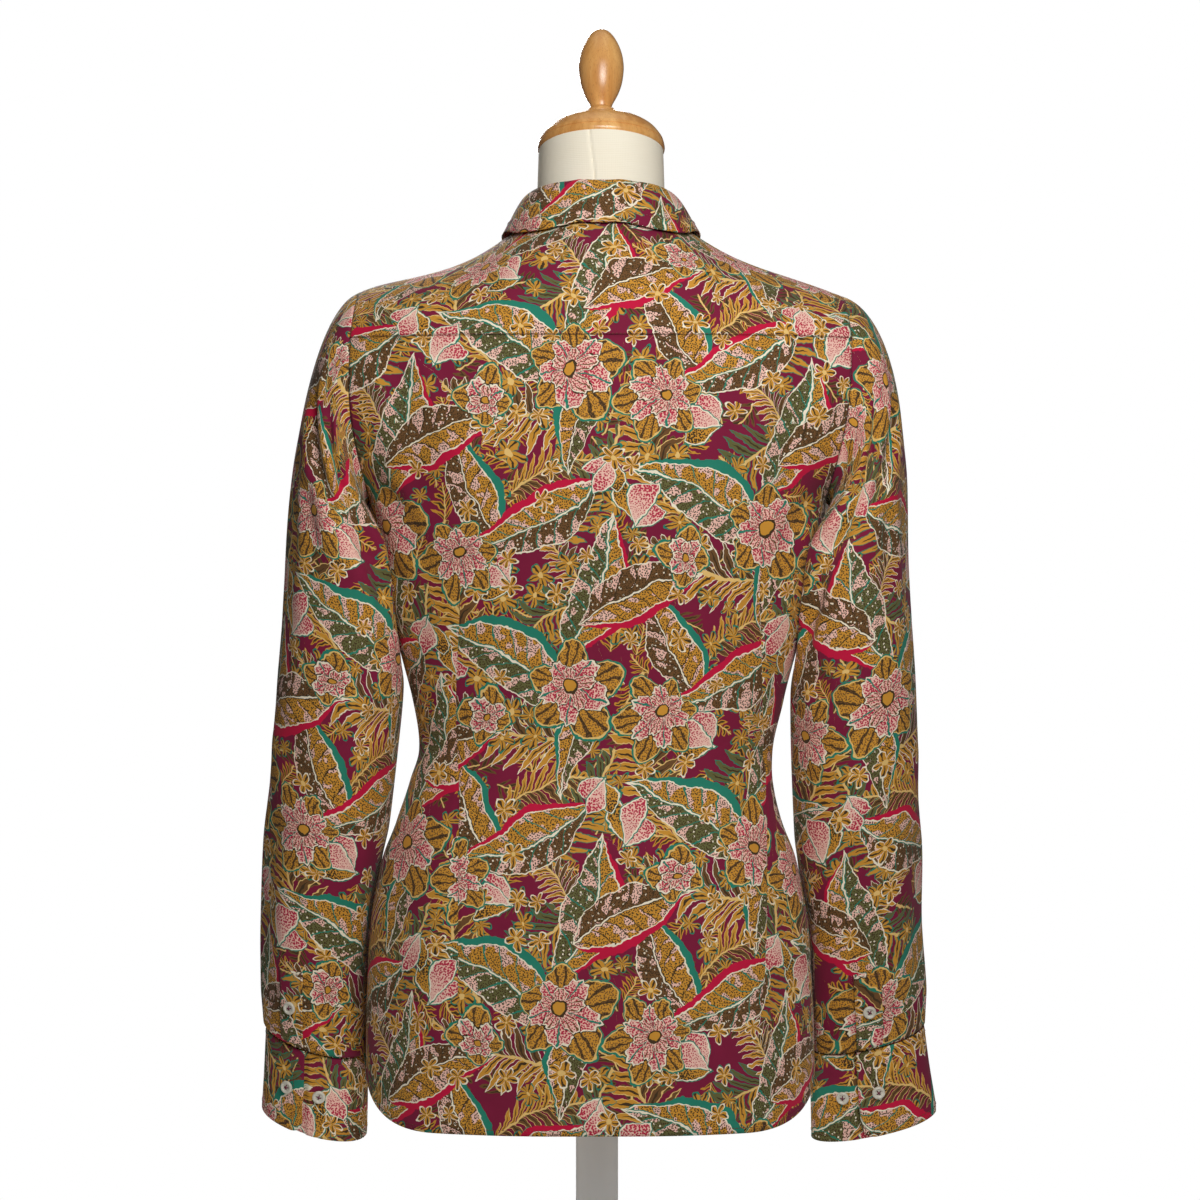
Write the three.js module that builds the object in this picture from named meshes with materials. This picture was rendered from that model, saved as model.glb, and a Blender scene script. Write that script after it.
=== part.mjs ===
// A fitted long-sleeved shirt, buttoned up on a limbless dress form with a round base.
// Millimetres, +Z up. The floor is z = 0, the shirt's front faces -Y and the wearer's left is +X.
import * as THREE from "three";

// ---- driving dimensions ----
const CLOTH = 1.2; // thickness of one layer of cloth
const LAYER = CLOTH + 0.5; // how far a layer stands out over the one under it
const SEAM = 0.3; // how far each piece stops short of its seam line
const SECTION_POWER = 2.35; // fullness of the body's sections: 2 is an ellipse
// The hem climbs to the side seams, from this share of the way across; rows above levelZ stay level.
const HEM = { z: 164, rise: 44, from: 0.44, levelZ: 300 };
const UNDERARM_Z = 632; // bottom of the armholes
const YOKE_Z = 754; // seam between the back and the yoke
const ARMHOLE = { midZ: 711, halfHeight: 79, halfDepth: 62 };
const RIDGE_Y = -5; // the shoulder ridge lies a little in front of the origin
const YOKE_FRONT = { y: -30, x: 180.5 }; // the yoke's front seams and where they reach the armholes
const NECK = { midY: -12, halfWidth: 62, halfDepth: 64 };
const DOME_POWER = { back: 1.7, front: 1.25 }; // fullness of the slopes from the ridge down
const BUST = { x: 86, z: 596, rise: 12, spreadX: 46, spreadZ: 58 };
const FRONT_LAP = 15; // each front reaches this far past the centre line
const BAND_EDGE = 12; // the button band's stitched edge, on the other side of the centre line
// A cuff's lapped end starts at leftFrom or rightFrom and goes on for lap past a whole turn, in degrees.
// fade is the angle over which it settles on the layer beneath, and reach is the cuff's mean radius.
const CUFF = {
  leftFrom: 100,
  rightFrom: 78,
  lap: 38,
  fade: 50,
  corner: 9,
  height: 64,
  rightLonger: 4,
  reach: 37,
};
const lapFrom = (hand) => (hand > 0 ? CUFF.leftFrom : CUFF.rightFrom);
// How a cuff's rings climb for each millimetre outwards on either side, and backwards.
const TILT = { left: 0.27, right: 0.21, back: -0.32 };
const SLEEVE_TILT_FROM = 330; // below this height the sleeve's rings turn to the cuff's tilt
const SLEEVE_CLEARANCE = 1.5; // between a sleeve and the body's side
const CLEARANCE_SOFTNESS = 3;
// How strongly a sleeve's head leaves the armhole outwards and downwards, and comes down on the arm.
const HEAD = { leftOut: 0.53, rightOut: 0.72, down: 0.25, arrive: 0.9, freeFrom: 0.5 };
const HEAD_ROWS = [0.1, 0.28, 0.52, 0.77];
const WRIST = { x: 210, y: -32, cuffZ: 192, slitZ: 260 }; // inside the cuff, and inside the sleeve above it
const PLACKET = { width: 16, bottom: 3, top: 56, button: 30, lift: 0.6 }; // measured up from the cuff seam
const COLLAR = { standBack: 30.5, standFront: 21, lowFrom: 105, foldIn: 8.5, foldFront: 172, foldUp: 2 };
// The stand's ends lap at the front, the right one outside, and each drops to endRise of its height.
const STAND = { lap: 12, onTopFrom: 140, onTopOver: 25, startRise: 0.14, endRise: 0.6 };
// The leaf's roll and its lift off the shoulders. Its left end steps out over the stand's lapped end.
const LEAF = { roll: 6, lift: 2.4, clearFrom: 0.78, clearOver: 0.14 };
const BUTTON = { radius: 5.5, small: 5, height: 2.4, rim: 1.6, gap: 0.9, pitch: 82, topZ: 736, count: 7 };
// Where the cuff's buttons sit: one shows through the lap, the other is on the layer beneath it.
const CUFF_BUTTONS = [
  { label: "outer", turned: 18, out: 1 },
  { label: "inner", turned: -16, out: 0 },
];
const FORM = {
  topZ: 740,
  clearance: 12,
  shoulderRows: [0.16, 0.34, 0.52, 0.7, 0.86, 1],
  roundness: 0.6,
  neckY: -8,
  neckHalf: 49.5,
  neckTopHalf: 47.5,
  neckTopZ: 899,
  neckTilt: 15,
};
const CAP_PROFILE = [
  { r: 0, h: 0.3 },
  { r: 47.8, h: 0.3 },
  { r: 48.7, h: 3 },
  { r: 46.8, h: 10 },
  { r: 41, h: 17.5 },
  { r: 31, h: 23.5 },
  { r: 19, h: 27 },
  { r: 14.5, h: 28.3 },
  { r: 0, h: 28.3 },
];
const FINIAL_PROFILE = [
  { r: 0, h: 28.6 },
  { r: 13, h: 28.6 },
  { r: 13.4, h: 31 },
  { r: 11.5, h: 33.6 },
  { r: 8, h: 36.2 },
  { r: 9, h: 39.5 },
  { r: 11.6, h: 44.5 },
  { r: 14.3, h: 50.6 },
  { r: 16.3, h: 57.5 },
  { r: 17.4, h: 66 },
  { r: 17.4, h: 72 },
  { r: 16.3, h: 79.5 },
  { r: 13.8, h: 87 },
  { r: 10, h: 94 },
  { r: 5.6, h: 98.6 },
  { r: 0, h: 100.5 },
];
const BASE = { radius: 150, height: 18, bevel: 4 };
const STEM_RADIUS = 16;

// ---- the body's sections: half width, sideways shift, and depth behind and before the origin ----
const BODY = [
  { z: 150, half: 170, shift: 5, back: 110, front: 102 },
  { z: 215, half: 170, shift: 5, back: 110, front: 102 },
  { z: 300, half: 167, shift: 6, back: 104, front: 99 },
  { z: 360, half: 157.5, shift: 6, back: 94, front: 94 },
  { z: 391, half: 146, shift: 6, back: 86, front: 90 },
  { z: 421, half: 137.5, shift: 4.5, back: 78, front: 87 },
  { z: 444, half: 134, shift: 1, back: 75, front: 87 },
  { z: 482, half: 140.5, shift: -1, back: 76, front: 92 },
  { z: 512, half: 148.5, shift: -1, back: 79, front: 99 },
  { z: 560, half: 161.5, shift: 0, back: 86, front: 108 },
  { z: 600, half: 169, shift: 0, back: 93, front: 111 },
  { z: 632, half: 173, shift: -0.5, back: 97, front: 110 },
  { z: 700, half: 173, shift: -1.5, back: 99, front: 99 },
  { z: 754, half: 173, shift: -3, back: 94, front: 85 },
];
// Where the armhole cuts the back and the fronts.
const ARMHOLE_EDGE = [
  { z: 632, back: 173, front: 173 },
  { z: 645, back: 175, front: 170 },
  { z: 665, back: 180, front: 166 },
  { z: 700, back: 186, front: 165 },
  { z: 725, back: 187.5, front: 170 },
  { z: 754, back: 188, front: 178 },
];
// Height of the shoulder ridge on either side, from the middle of the neck out to the armhole.
const RIDGE = [
  { x: 0, left: 870, right: 870 },
  { x: 14, left: 869, right: 869 },
  { x: 28, left: 863.5, right: 863.5 },
  { x: 44, left: 855, right: 855 },
  { x: 62, left: 842, right: 842 },
  { x: 84, left: 825, right: 828 },
  { x: 98, left: 817, right: 820.5 },
  { x: 117, left: 810, right: 812.5 },
  { x: 139, left: 804, right: 804.5 },
  { x: 165, left: 798, right: 795.5 },
  { x: 184, left: 792, right: 789 },
  { x: 192, left: 788, right: 786.5 },
];
// Sections of the sleeves below the armhole: x of the middle, half width and half depth of the left and
// the right sleeve, and y of the middle, which both share.
const SLEEVE = [
  {
    z: 226, leftX: 215, leftHalf: 40.8, leftDepth: 36,
    rightX: 206.5, rightHalf: 45, rightDepth: 30, midY: -28,
  },
  {
    z: 244, leftX: 215.2, leftHalf: 41.4, leftDepth: 39,
    rightX: 206.2, rightHalf: 45.8, rightDepth: 34, midY: -26,
  },
  {
    z: 275, leftX: 214.5, leftHalf: 42.4, leftDepth: 42,
    rightX: 204, rightHalf: 46.5, rightDepth: 39, midY: -22,
  },
  {
    z: 310, leftX: 212.5, leftHalf: 44, leftDepth: 45,
    rightX: 201.5, rightHalf: 46.5, rightDepth: 44, midY: -16,
  },
  {
    z: 375, leftX: 206, leftHalf: 47, leftDepth: 49,
    rightX: 198.5, rightHalf: 48.5, rightDepth: 48, midY: -7,
  },
  {
    z: 436, leftX: 200, leftHalf: 48, leftDepth: 52,
    rightX: 196, rightHalf: 48.5, rightDepth: 52, midY: 0,
  },
  {
    z: 497, leftX: 194.2, leftHalf: 48.6, leftDepth: 56,
    rightX: 194, rightHalf: 48, rightDepth: 56, midY: 5,
  },
  {
    z: 545, leftX: 191.5, leftHalf: 47, leftDepth: 59,
    rightX: 192.5, rightHalf: 46, rightDepth: 59, midY: 7,
  },
  {
    z: 590, leftX: 190.5, leftHalf: 44, leftDepth: 61,
    rightX: 191.5, rightHalf: 43.8, rightDepth: 61, midY: 8,
  },
];
const CUFF_SECTIONS = [
  {
    z: 160, leftX: 217, leftHalf: 40.5, leftDepth: 33,
    rightX: 212.5, rightHalf: 48, rightDepth: 24, midY: -38,
  },
  {
    z: 192, leftX: 215.5, leftHalf: 39.9, leftDepth: 33,
    rightX: 209, rightHalf: 46, rightDepth: 25, midY: -33,
  },
  {
    z: 224, leftX: 214.5, leftHalf: 39, leftDepth: 33.5,
    rightX: 206.5, rightHalf: 44, rightDepth: 27, midY: -28,
  },
];
// The collar's fall edge, from the middle of the back to a collar point, on the shoulder surface.
const COLLAR_EDGE = [
  { share: 0, x: 0, turn: 49 },
  { share: 0.2, x: 38, turn: 52.5 },
  { share: 0.4, x: 64, turn: 67 },
  { share: 0.56, x: 73, turn: 99 },
  { share: 0.76, x: 68, turn: 134 },
  { share: 1, x: 47, turn: 181 },
];
// The dress form's rings, as shares of the shirt's own sections.
const FORM_RINGS = [
  { z: 236, wide: 0.85, deep: 0.83 },
  { z: 262, wide: 0.9, deep: 0.88 },
  { z: 330, wide: 0.9, deep: 0.89 },
  { z: 400, wide: 0.88, deep: 0.88 },
  { z: 444, wide: 0.87, deep: 0.87 },
  { z: 512, wide: 0.89, deep: 0.89 },
  { z: 600, wide: 0.92, deep: 0.93 },
  { z: 670, wide: 0.93, deep: 0.94 },
  { z: 740, wide: 0.93, deep: 0.94 },
];
// Heights of the rows that cut the back and fronts into facets, from the hem up to the yoke's level.
const SIDE_LEVELS = [164, 190, 228, 264, 300, 360, 408, 444, 490, 545, 600];
const ARMHOLE_LEVELS = [632, 636, 645, 662, 692, 724, 754];
const LEVELS = [...SIDE_LEVELS, ...ARMHOLE_LEVELS];
const YOKE_RISES = [0, 0.2, 0.42, 0.6, 0.75, 0.88, 1];
const FRONT_RISES = [0.28, 0.52, 0.76, 1];
const YOKE_NECK_SHARE = 0.5; // the neckline takes this share of the yoke's half width
const FRONT_NECK_SHARE = 0.4;
// Columns of a front: a distance from the centre line, or a share of the way to the side. lift is in layers.
const FRONT_COLUMNS = [
  { x: -FRONT_LAP, lift: 1 },
  { x: BAND_EDGE, lift: 1 },
  { share: 0.17, lift: 0.8 },
  { share: 0.28, lift: 0.2 },
  { share: 0.4, lift: 0 },
  { share: 0.55, lift: 0 },
  { share: 0.7, lift: 0 },
  { share: 0.85, lift: 0 },
  { share: 1, lift: 0 },
];

// ---- materials ----
const print = new THREE.MeshStandardMaterial({ color: 0x7a4a38, roughness: 0.85, metalness: 0 });
const pearl = new THREE.MeshStandardMaterial({ color: 0xc9c4b4, roughness: 0.35, metalness: 0 });
const linen = new THREE.MeshStandardMaterial({ color: 0xe6dcc3, roughness: 0.9, metalness: 0 });
const beech = new THREE.MeshStandardMaterial({ color: 0xc08646, roughness: 0.3, metalness: 0 });
const painted = new THREE.MeshStandardMaterial({ color: 0xe8e7e3, roughness: 0.45, metalness: 0 });

const model = new THREE.Group();
const clamp01 = (t) => Math.min(1, Math.max(0, t));
const ease = (t) => clamp01(t) ** 2 * (3 - 2 * clamp01(t));
const mix = (a, b, t) => a + (b - a) * t;
const shares = (count) => Array.from({ length: count + 1 }, (_, i) => i / count);
const radians = THREE.MathUtils.degToRad;
const degrees = THREE.MathUtils.radToDeg;

// A smooth curve through one column of a table, with no overshoot between its rows.
function curve(rows, at, column) {
  const x = rows.map((row) => row[at]);
  const y = rows.map((row) => row[column]);
  const slope = x.slice(1).map((_, i) => (y[i + 1] - y[i]) / (x[i + 1] - x[i]));
  const tangent = x.map((_, i) => {
    if (i === 0) return slope[0];
    if (i === x.length - 1) return slope[i - 1];
    if (slope[i - 1] * slope[i] <= 0) return 0;
    return (2 * slope[i - 1] * slope[i]) / (slope[i - 1] + slope[i]);
  });
  return (value) => {
    const v = Math.min(Math.max(value, x[0]), x[x.length - 1]);
    let i = 0;
    while (i < x.length - 2 && v > x[i + 1]) i += 1;
    const step = x[i + 1] - x[i];
    const t = (v - x[i]) / step;
    const u = 1 - t;
    return (
      y[i] * (1 + 2 * t) * u * u +
      tangent[i] * step * t * u * u +
      y[i + 1] * t * t * (3 - 2 * t) -
      tangent[i + 1] * step * t * t * u
    );
  };
}

// ---- the shirt's surfaces ----
const bodyHalf = curve(BODY, "z", "half");
const bodyShift = curve(BODY, "z", "shift");
const ridgeLeft = curve(RIDGE, "x", "left");
const ridgeRight = curve(RIDGE, "x", "right");
const BACK = {
  sign: 1,
  depth: curve(BODY, "z", "back"),
  edge: curve(ARMHOLE_EDGE, "z", "back"),
  dome: DOME_POWER.back,
};
const FRONT = {
  sign: -1,
  depth: curve(BODY, "z", "front"),
  edge: curve(ARMHOLE_EDGE, "z", "front"),
  dome: DOME_POWER.front,
};

// How far the armhole reaches behind and before its middle at height z: 0 at the underarm and below.
function armholeDepth(z) {
  if (z <= UNDERARM_Z) return 0;
  return ARMHOLE.halfDepth * Math.sqrt(1 - ((z - ARMHOLE.midZ) / ARMHOLE.halfHeight) ** 2);
}

// Half width of a side's whole section. Above the underarm the armhole cuts the section short of it.
function sectionHalf(side, z) {
  if (z <= UNDERARM_Z) return bodyHalf(z);
  const cut = (armholeDepth(z) / side.depth(z)) ** SECTION_POWER;
  return side.edge(z) / (1 - cut) ** (1 / SECTION_POWER);
}

// Depth of a side's surface at height z and distance x from the middle of the section.
function sectionDepth(side, z, x) {
  const share = Math.min(1, Math.abs(x) / sectionHalf(side, z));
  const fromBust = ((Math.abs(x) - BUST.x) / BUST.spreadX) ** 2 + ((z - BUST.z) / BUST.spreadZ) ** 2;
  const bust = side === FRONT ? BUST.rise * Math.exp(-fromBust) * (1 - share ** 6) ** 2 : 0;
  return side.depth(z) * (1 - share ** SECTION_POWER) ** (1 / SECTION_POWER) + bust;
}

// The angle at which a side's section ends: at the side seam, or short of it at the armhole.
const lastAngle = (side, z) => Math.acos((armholeDepth(z) / side.depth(z)) ** (SECTION_POWER / 2));

// A point of the body up to the yoke's level: share runs from 0 at the centre line to 1 or -1 at the side.
function bodyPoint(side, z, share) {
  const angle = Math.min(1, Math.abs(share)) * lastAngle(side, z);
  const x = Math.sign(share) * sectionHalf(side, z) * Math.sin(angle) ** (2 / SECTION_POWER);
  return new THREE.Vector3(x + bodyShift(z), side.sign * sectionDepth(side, z, x), z);
}

// The share at which a side's section is x millimetres from its middle.
function shareAt(side, z, x) {
  return Math.asin((x / sectionHalf(side, z)) ** (SECTION_POWER / 2)) / lastAngle(side, z);
}

// The shoulders: turn is 0 at the yoke's back seam, 90 on the ridge and 180 on the chest, past which it
// goes straight down.
// x is measured from the middle of the neck, which stands a little to the wearer's right.
const CHEST_STEP = 1.5; // millimetres down the chest for each degree past 180
const NECK_SHIFT = bodyShift(YOKE_Z);
function shoulderPoint(x, turn) {
  const side = turn <= 90 ? BACK : FRONT;
  if (turn > 180) {
    const z = YOKE_Z - (turn - 180) * CHEST_STEP;
    return new THREE.Vector3(x + NECK_SHIFT, -sectionDepth(FRONT, z, x), z);
  }
  const angle = radians(turn <= 90 ? turn : 180 - turn);
  const reach = side.sign * sectionDepth(side, YOKE_Z, x) - RIDGE_Y;
  const power = 2 / side.dome;
  const top = x < 0 ? ridgeRight(-x) : ridgeLeft(x);
  return new THREE.Vector3(
    x + NECK_SHIFT,
    RIDGE_Y + reach * Math.max(0, Math.cos(angle)) ** power,
    YOKE_Z + (top - YOKE_Z) * Math.max(0, Math.sin(angle)) ** power,
  );
}

// The turn at which the shoulder surface passes over the plan point x, y.
function turnOver(x, y) {
  const side = y >= RIDGE_Y ? BACK : FRONT;
  const reach = side.sign * sectionDepth(side, YOKE_Z, x) - RIDGE_Y;
  const turn = degrees(Math.acos(clamp01((y - RIDGE_Y) / reach) ** (side.dome / 2)));
  return side === BACK ? turn : 180 - turn;
}

const NECK_CORNER = Math.acos((YOKE_FRONT.y - NECK.midY) / NECK.halfDepth);

// Plan point of the neckline: angle is 0 at the middle of the back and pi at the front.
function neckPlan(angle) {
  return { x: NECK.halfWidth * Math.sin(angle), y: NECK.midY + NECK.halfDepth * Math.cos(angle) };
}

function neckPoint(angle) {
  const { x, y } = neckPlan(angle);
  return shoulderPoint(x, turnOver(x, y));
}

// Plan point of the upper edge of the yoke or a front: the neckline, then the yoke's front seam.
function upperEdge(share, neckShare, fromAngle) {
  const hand = share < 0 ? -1 : 1;
  const along = Math.abs(share) / neckShare;
  if (along <= 1) return neckPlan(hand * mix(fromAngle, NECK_CORNER, along));
  const out = (Math.abs(share) - neckShare) / (1 - neckShare);
  return { x: mix(neckPlan(hand * NECK_CORNER).x, hand * YOKE_FRONT.x, out), y: YOKE_FRONT.y };
}

// A point on the way up from the yoke's level (rise 0) to a plan point of the upper edge (rise 1).
function climbTo(end, side, startX, rise) {
  const startTurn = side === BACK ? 0 : 180;
  return shoulderPoint(mix(startX, end.x, rise), mix(startTurn, turnOver(end.x, end.y), rise));
}

function upperPoint(side, share, rise) {
  const startX = bodyPoint(side, YOKE_Z, share).x - NECK_SHIFT;
  const [neckShare, fromAngle] = side === BACK ? [YOKE_NECK_SHARE, 0] : [FRONT_NECK_SHARE, Math.PI];
  return climbTo(upperEdge(share, neckShare, fromAngle), side, startX, rise);
}

// The height at which a row of the body passes a share: rows near the hem climb to the side with it.
function levelAt(level, share) {
  const climb = HEM.rise * clamp01((Math.abs(share) - HEM.from) / (1 - HEM.from)) ** 2;
  return level + climb * clamp01((HEM.levelZ - level) / (HEM.levelZ - HEM.z));
}

// ---- walls and solids from grids of points ----
// A grid's outward unit normals, and whether its rows and columns already turn that way.
function normalsOf(grid, closed, inside) {
  const rows = grid.length;
  const cols = grid[0].length;
  const row = (i) => grid[Math.min(rows - 1, Math.max(0, i))];
  const at = (i, j) => row(i)[closed ? (j + cols) % cols : Math.min(cols - 1, Math.max(0, j))];
  const normals = grid.map((line, i) =>
    line.map((_, j) => {
      const along = at(i, j + 1).clone().sub(at(i, j - 1));
      const up = at(i + 1, j).clone().sub(at(i - 1, j));
      return along.cross(up).normalize();
    }),
  );
  const i = rows >> 1;
  const j = cols >> 1;
  const facing = normals[i][j].dot(grid[i][j].clone().sub(inside)) > 0;
  if (!facing) normals.forEach((line) => line.forEach((n) => n.negate()));
  return { normals, facing };
}

// Moves the named edges of a grid in from their seam lines.
function pullIn(grid, ...edges) {
  const rows = grid.length;
  const cols = grid[0].length;
  const nudge = (point, towards) => point.add(towards.clone().sub(point).setLength(SEAM));
  if (edges.includes("bottom")) grid[0].forEach((p, j) => nudge(p, grid[1][j]));
  if (edges.includes("top")) grid[rows - 1].forEach((p, j) => nudge(p, grid[rows - 2][j]));
  if (edges.includes("start")) grid.forEach((line) => nudge(line[0], line[1]));
  if (edges.includes("end")) grid.forEach((line) => nudge(line[cols - 1], line[cols - 2]));
  return grid;
}

// A copy of a grid, moved out along its normals by distance(row, column).
function movedOut(grid, distance, inside, closed = false) {
  const { normals } = normalsOf(grid, closed, inside);
  return grid.map((line, i) => line.map((p, j) => p.clone().addScaledVector(normals[i][j], distance(i, j))));
}

function geometryOf(points, index) {
  const positions = points.flatMap((p) => [p.x, p.y, p.z]);
  return new THREE.BufferGeometry()
    .setAttribute("position", new THREE.Float32BufferAttribute(positions, 3))
    .setIndex(index);
}

// A cloth wall whose outer face is the grid. A closed grid's last column joins its first.
function wall(grid, inside, { closed = false, squareStart = false } = {}) {
  const rows = grid.length;
  const cols = grid[0].length;
  const { normals, facing } = normalsOf(grid, closed, inside);
  if (squareStart) normals[0].forEach((n) => n.setX(0).normalize());
  const inward = (p, i, j) => p.clone().addScaledVector(normals[i][j], -CLOTH);
  const inner = grid.flatMap((line, i) => line.map((p, j) => inward(p, i, j)));
  const count = rows * cols;
  const index = [];
  const quad = (a, b, c, d) => index.push(...(facing ? [a, b, c, a, c, d] : [a, c, b, a, d, c]));
  const spans = closed ? cols : cols - 1;
  const last = count - cols;
  for (let j = 0; j < spans; j += 1) {
    const next = (j + 1) % cols;
    for (let i = 0; i < rows - 1; i += 1) {
      const a = i * cols + j;
      const b = i * cols + next;
      quad(a, b, b + cols, a + cols);
      quad(count + a, count + a + cols, count + b + cols, count + b);
    }
    quad(count + j, count + next, next, j);
    quad(last + j, last + next, count + last + next, count + last + j);
  }
  if (!closed) {
    for (let a = 0; a < last; a += cols) {
      const b = a + cols;
      const end = cols - 1;
      quad(count + a, a, b, count + b);
      quad(a + end, count + a + end, count + b + end, b + end);
    }
  }
  return geometryOf([...grid.flat(), ...inner], index);
}

// A solid through closed rings, with a flat or tilted face at each end.
function solidThrough(rings) {
  const cols = rings[0].length;
  const middle = (ring) => ring.reduce((sum, p) => sum.add(p), new THREE.Vector3()).divideScalar(cols);
  const points = [...rings.flat(), middle(rings[0]), middle(rings[rings.length - 1])];
  const bottom = points.length - 2;
  const index = [];
  const last = (rings.length - 1) * cols;
  for (let j = 0; j < cols; j += 1) {
    const next = (j + 1) % cols;
    for (let row = 0; row < last; row += cols) {
      index.push(row + j, row + next, row + cols + next, row + j, row + cols + next, row + cols + j);
    }
    index.push(bottom, next, j, bottom + 1, last + j, last + next);
  }
  return geometryOf(points, index);
}

function add(name, geometry, material) {
  const mesh = new THREE.Mesh(geometry, material);
  mesh.name = name;
  model.add(mesh);
  return mesh;
}

// ---- body of the shirt ----
const CHEST_MIDDLE = new THREE.Vector3(0, 0, 480);
const NECK_MIDDLE = new THREE.Vector3(0, NECK.midY, 760);
const ACROSS = shares(16).map((t) => 2 * t - 1);

function addBack() {
  const grid = LEVELS.map((level) => ACROSS.map((s) => bodyPoint(BACK, levelAt(level, s), s)));
  add("back", wall(pullIn(grid, "top", "start", "end"), CHEST_MIDDLE), print);
}

function addYoke() {
  const grid = YOKE_RISES.map((rise) => ACROSS.map((s) => upperPoint(BACK, s, rise)));
  add("yoke", wall(pullIn(grid, "bottom", "top", "start", "end"), NECK_MIDDLE), print);
}

// A point of one front. hand is 1 on the wearer's left; rise is above the yoke's level.
function frontPoint(hand, { x, share }, level, rise = 0) {
  if (x !== undefined && rise > 0) {
    return climbTo(neckPlan(hand * (Math.PI - Math.asin(x / NECK.halfWidth))), FRONT, hand * x, rise);
  }
  if (rise > 0) return upperPoint(FRONT, hand * share, rise);
  const s = share ?? Math.sign(x) * shareAt(FRONT, level, Math.abs(x));
  return bodyPoint(FRONT, levelAt(level, s), hand * s);
}

function frontGrid(hand, columns) {
  const lower = LEVELS.map((level) => columns.map((column) => frontPoint(hand, column, level)));
  const upper = FRONT_RISES.map((rise) => columns.map((column) => frontPoint(hand, column, YOKE_Z, rise)));
  return [...lower, ...upper];
}

// The right front laps over the left, and the button band is stitched on it.
function addFronts() {
  const left = pullIn(frontGrid(1, FRONT_COLUMNS), "top", "end");
  add("front_left", wall(left, CHEST_MIDDLE), print);
  const right = pullIn(frontGrid(-1, FRONT_COLUMNS), "top", "end");
  const lapped = movedOut(right, (_, j) => FRONT_COLUMNS[j].lift * LAYER, CHEST_MIDDLE);
  add("front_right", wall(lapped, CHEST_MIDDLE), print);
  const band = movedOut(right.map((line) => line.slice(0, 2)), () => 2 * LAYER, CHEST_MIDDLE);
  add("front_band", wall(band, CHEST_MIDDLE), print);
}

// ---- sleeves ----
// The armhole's edge, vertex for vertex with the panels: underarm, back, yoke, and down the front.
function armholeRing(hand) {
  const back = ARMHOLE_LEVELS.map((z) => bodyPoint(BACK, z, hand));
  const yoke = YOKE_RISES.slice(1).map((rise) => upperPoint(BACK, hand, rise));
  const chest = FRONT_RISES.slice(0, -1).reverse().map((rise) => upperPoint(FRONT, hand, rise));
  const front = ARMHOLE_LEVELS.slice(1).reverse().map((z) => bodyPoint(FRONT, z, hand));
  return [...back, ...yoke, ...chest, ...front];
}

// How far round its ring each point lies, from 0 towards 1.
function sharesRound(ring) {
  const steps = ring.map((p, i) => p.distanceTo(ring[(i + 1) % ring.length]));
  const whole = steps.reduce((sum, step) => sum + step, 0);
  let passed = 0;
  return steps.map((step) => {
    const share = passed / whole;
    passed += step;
    return share;
  });
}

const tilted = (z) => ease((SLEEVE_TILT_FROM - z) / (SLEEVE_TILT_FROM - SLEEVE[0].z));

// A point round a sleeve or cuff section: angle in degrees from the inner side by way of the back.
function ringPoint(table, hand, z, angle) {
  const prefix = hand > 0 ? "left" : "right";
  const read = (column) => curve(table, "z", column)(z);
  const out = -Math.cos(radians(angle)) * read(`${prefix}Half`);
  const behind = Math.sin(radians(angle)) * read(`${prefix}Depth`);
  const y = read("midY") + behind;
  const height = z + tilted(z) * (TILT[prefix] * out + TILT.back * behind);
  const x = clearOfBody(hand, read(`${prefix}X`) + out, y, height);
  return new THREE.Vector3(hand * x, y, height);
}

// Pushes a sleeve point out until it clears the body's side at its height.
function clearOfBody(hand, x, y, z) {
  const side = y > 0 ? BACK : FRONT;
  const level = Math.min(z, UNDERARM_Z);
  const share = clamp01(Math.abs(y) / side.depth(level));
  const reach = bodyHalf(level) * (1 - share ** SECTION_POWER) ** (1 / SECTION_POWER);
  const needed = hand * bodyShift(level) + reach + SLEEVE_CLEARANCE;
  const spare = x - needed;
  return needed + (spare + Math.hypot(spare, CLEARANCE_SOFTNESS)) / 2;
}

// The sleeve's head leaves the armhole outwards and turns down to the first whole ring.
function headPoint(hand, start, end, t) {
  const length = start.distanceTo(end);
  const out = hand > 0 ? HEAD.leftOut : -HEAD.rightOut;
  const leaving = new THREE.Vector3(out, 0, -HEAD.down).multiplyScalar(length);
  const arriving = new THREE.Vector3(0, 0, -HEAD.arrive * length);
  const point = new THREE.Vector3()
    .addScaledVector(start, (1 + 2 * t) * (1 - t) ** 2)
    .addScaledVector(leaving, t * (1 - t) ** 2)
    .addScaledVector(end, t * t * (3 - 2 * t))
    .addScaledVector(arriving, t * t * (t - 1));
  const free = clearOfBody(hand, hand * point.x, point.y, point.z);
  return point.setX(hand * mix(hand * point.x, free, ease(t / HEAD.freeFrom)));
}

// The sleeve's outer face, from the armhole down to the cuff seam.
function sleeveGrid(hand) {
  const armhole = armholeRing(hand);
  const angles = sharesRound(armhole).map((share) => 360 * share);
  const ring = ({ z }) => angles.map((angle) => ringPoint(SLEEVE, hand, z, angle));
  const rings = [...SLEEVE].reverse().map(ring);
  const head = HEAD_ROWS.map((t) => armhole.map((p, j) => headPoint(hand, p, rings[0][j], t)));
  return [armhole, ...head, ...rings];
}

// A point inside the sleeve or cuff, at a given distance out from the body's middle.
const inArm = (hand, x, y, z) => new THREE.Vector3(hand * x, y, z);

function addSleeve(hand, name) {
  const grid = pullIn(sleeveGrid(hand), "bottom", "top");
  const geometry = wall(grid, inArm(hand, 200, 0, 400), { closed: true, squareStart: true });
  add(`sleeve_${name}`, geometry, print);
}

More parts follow.
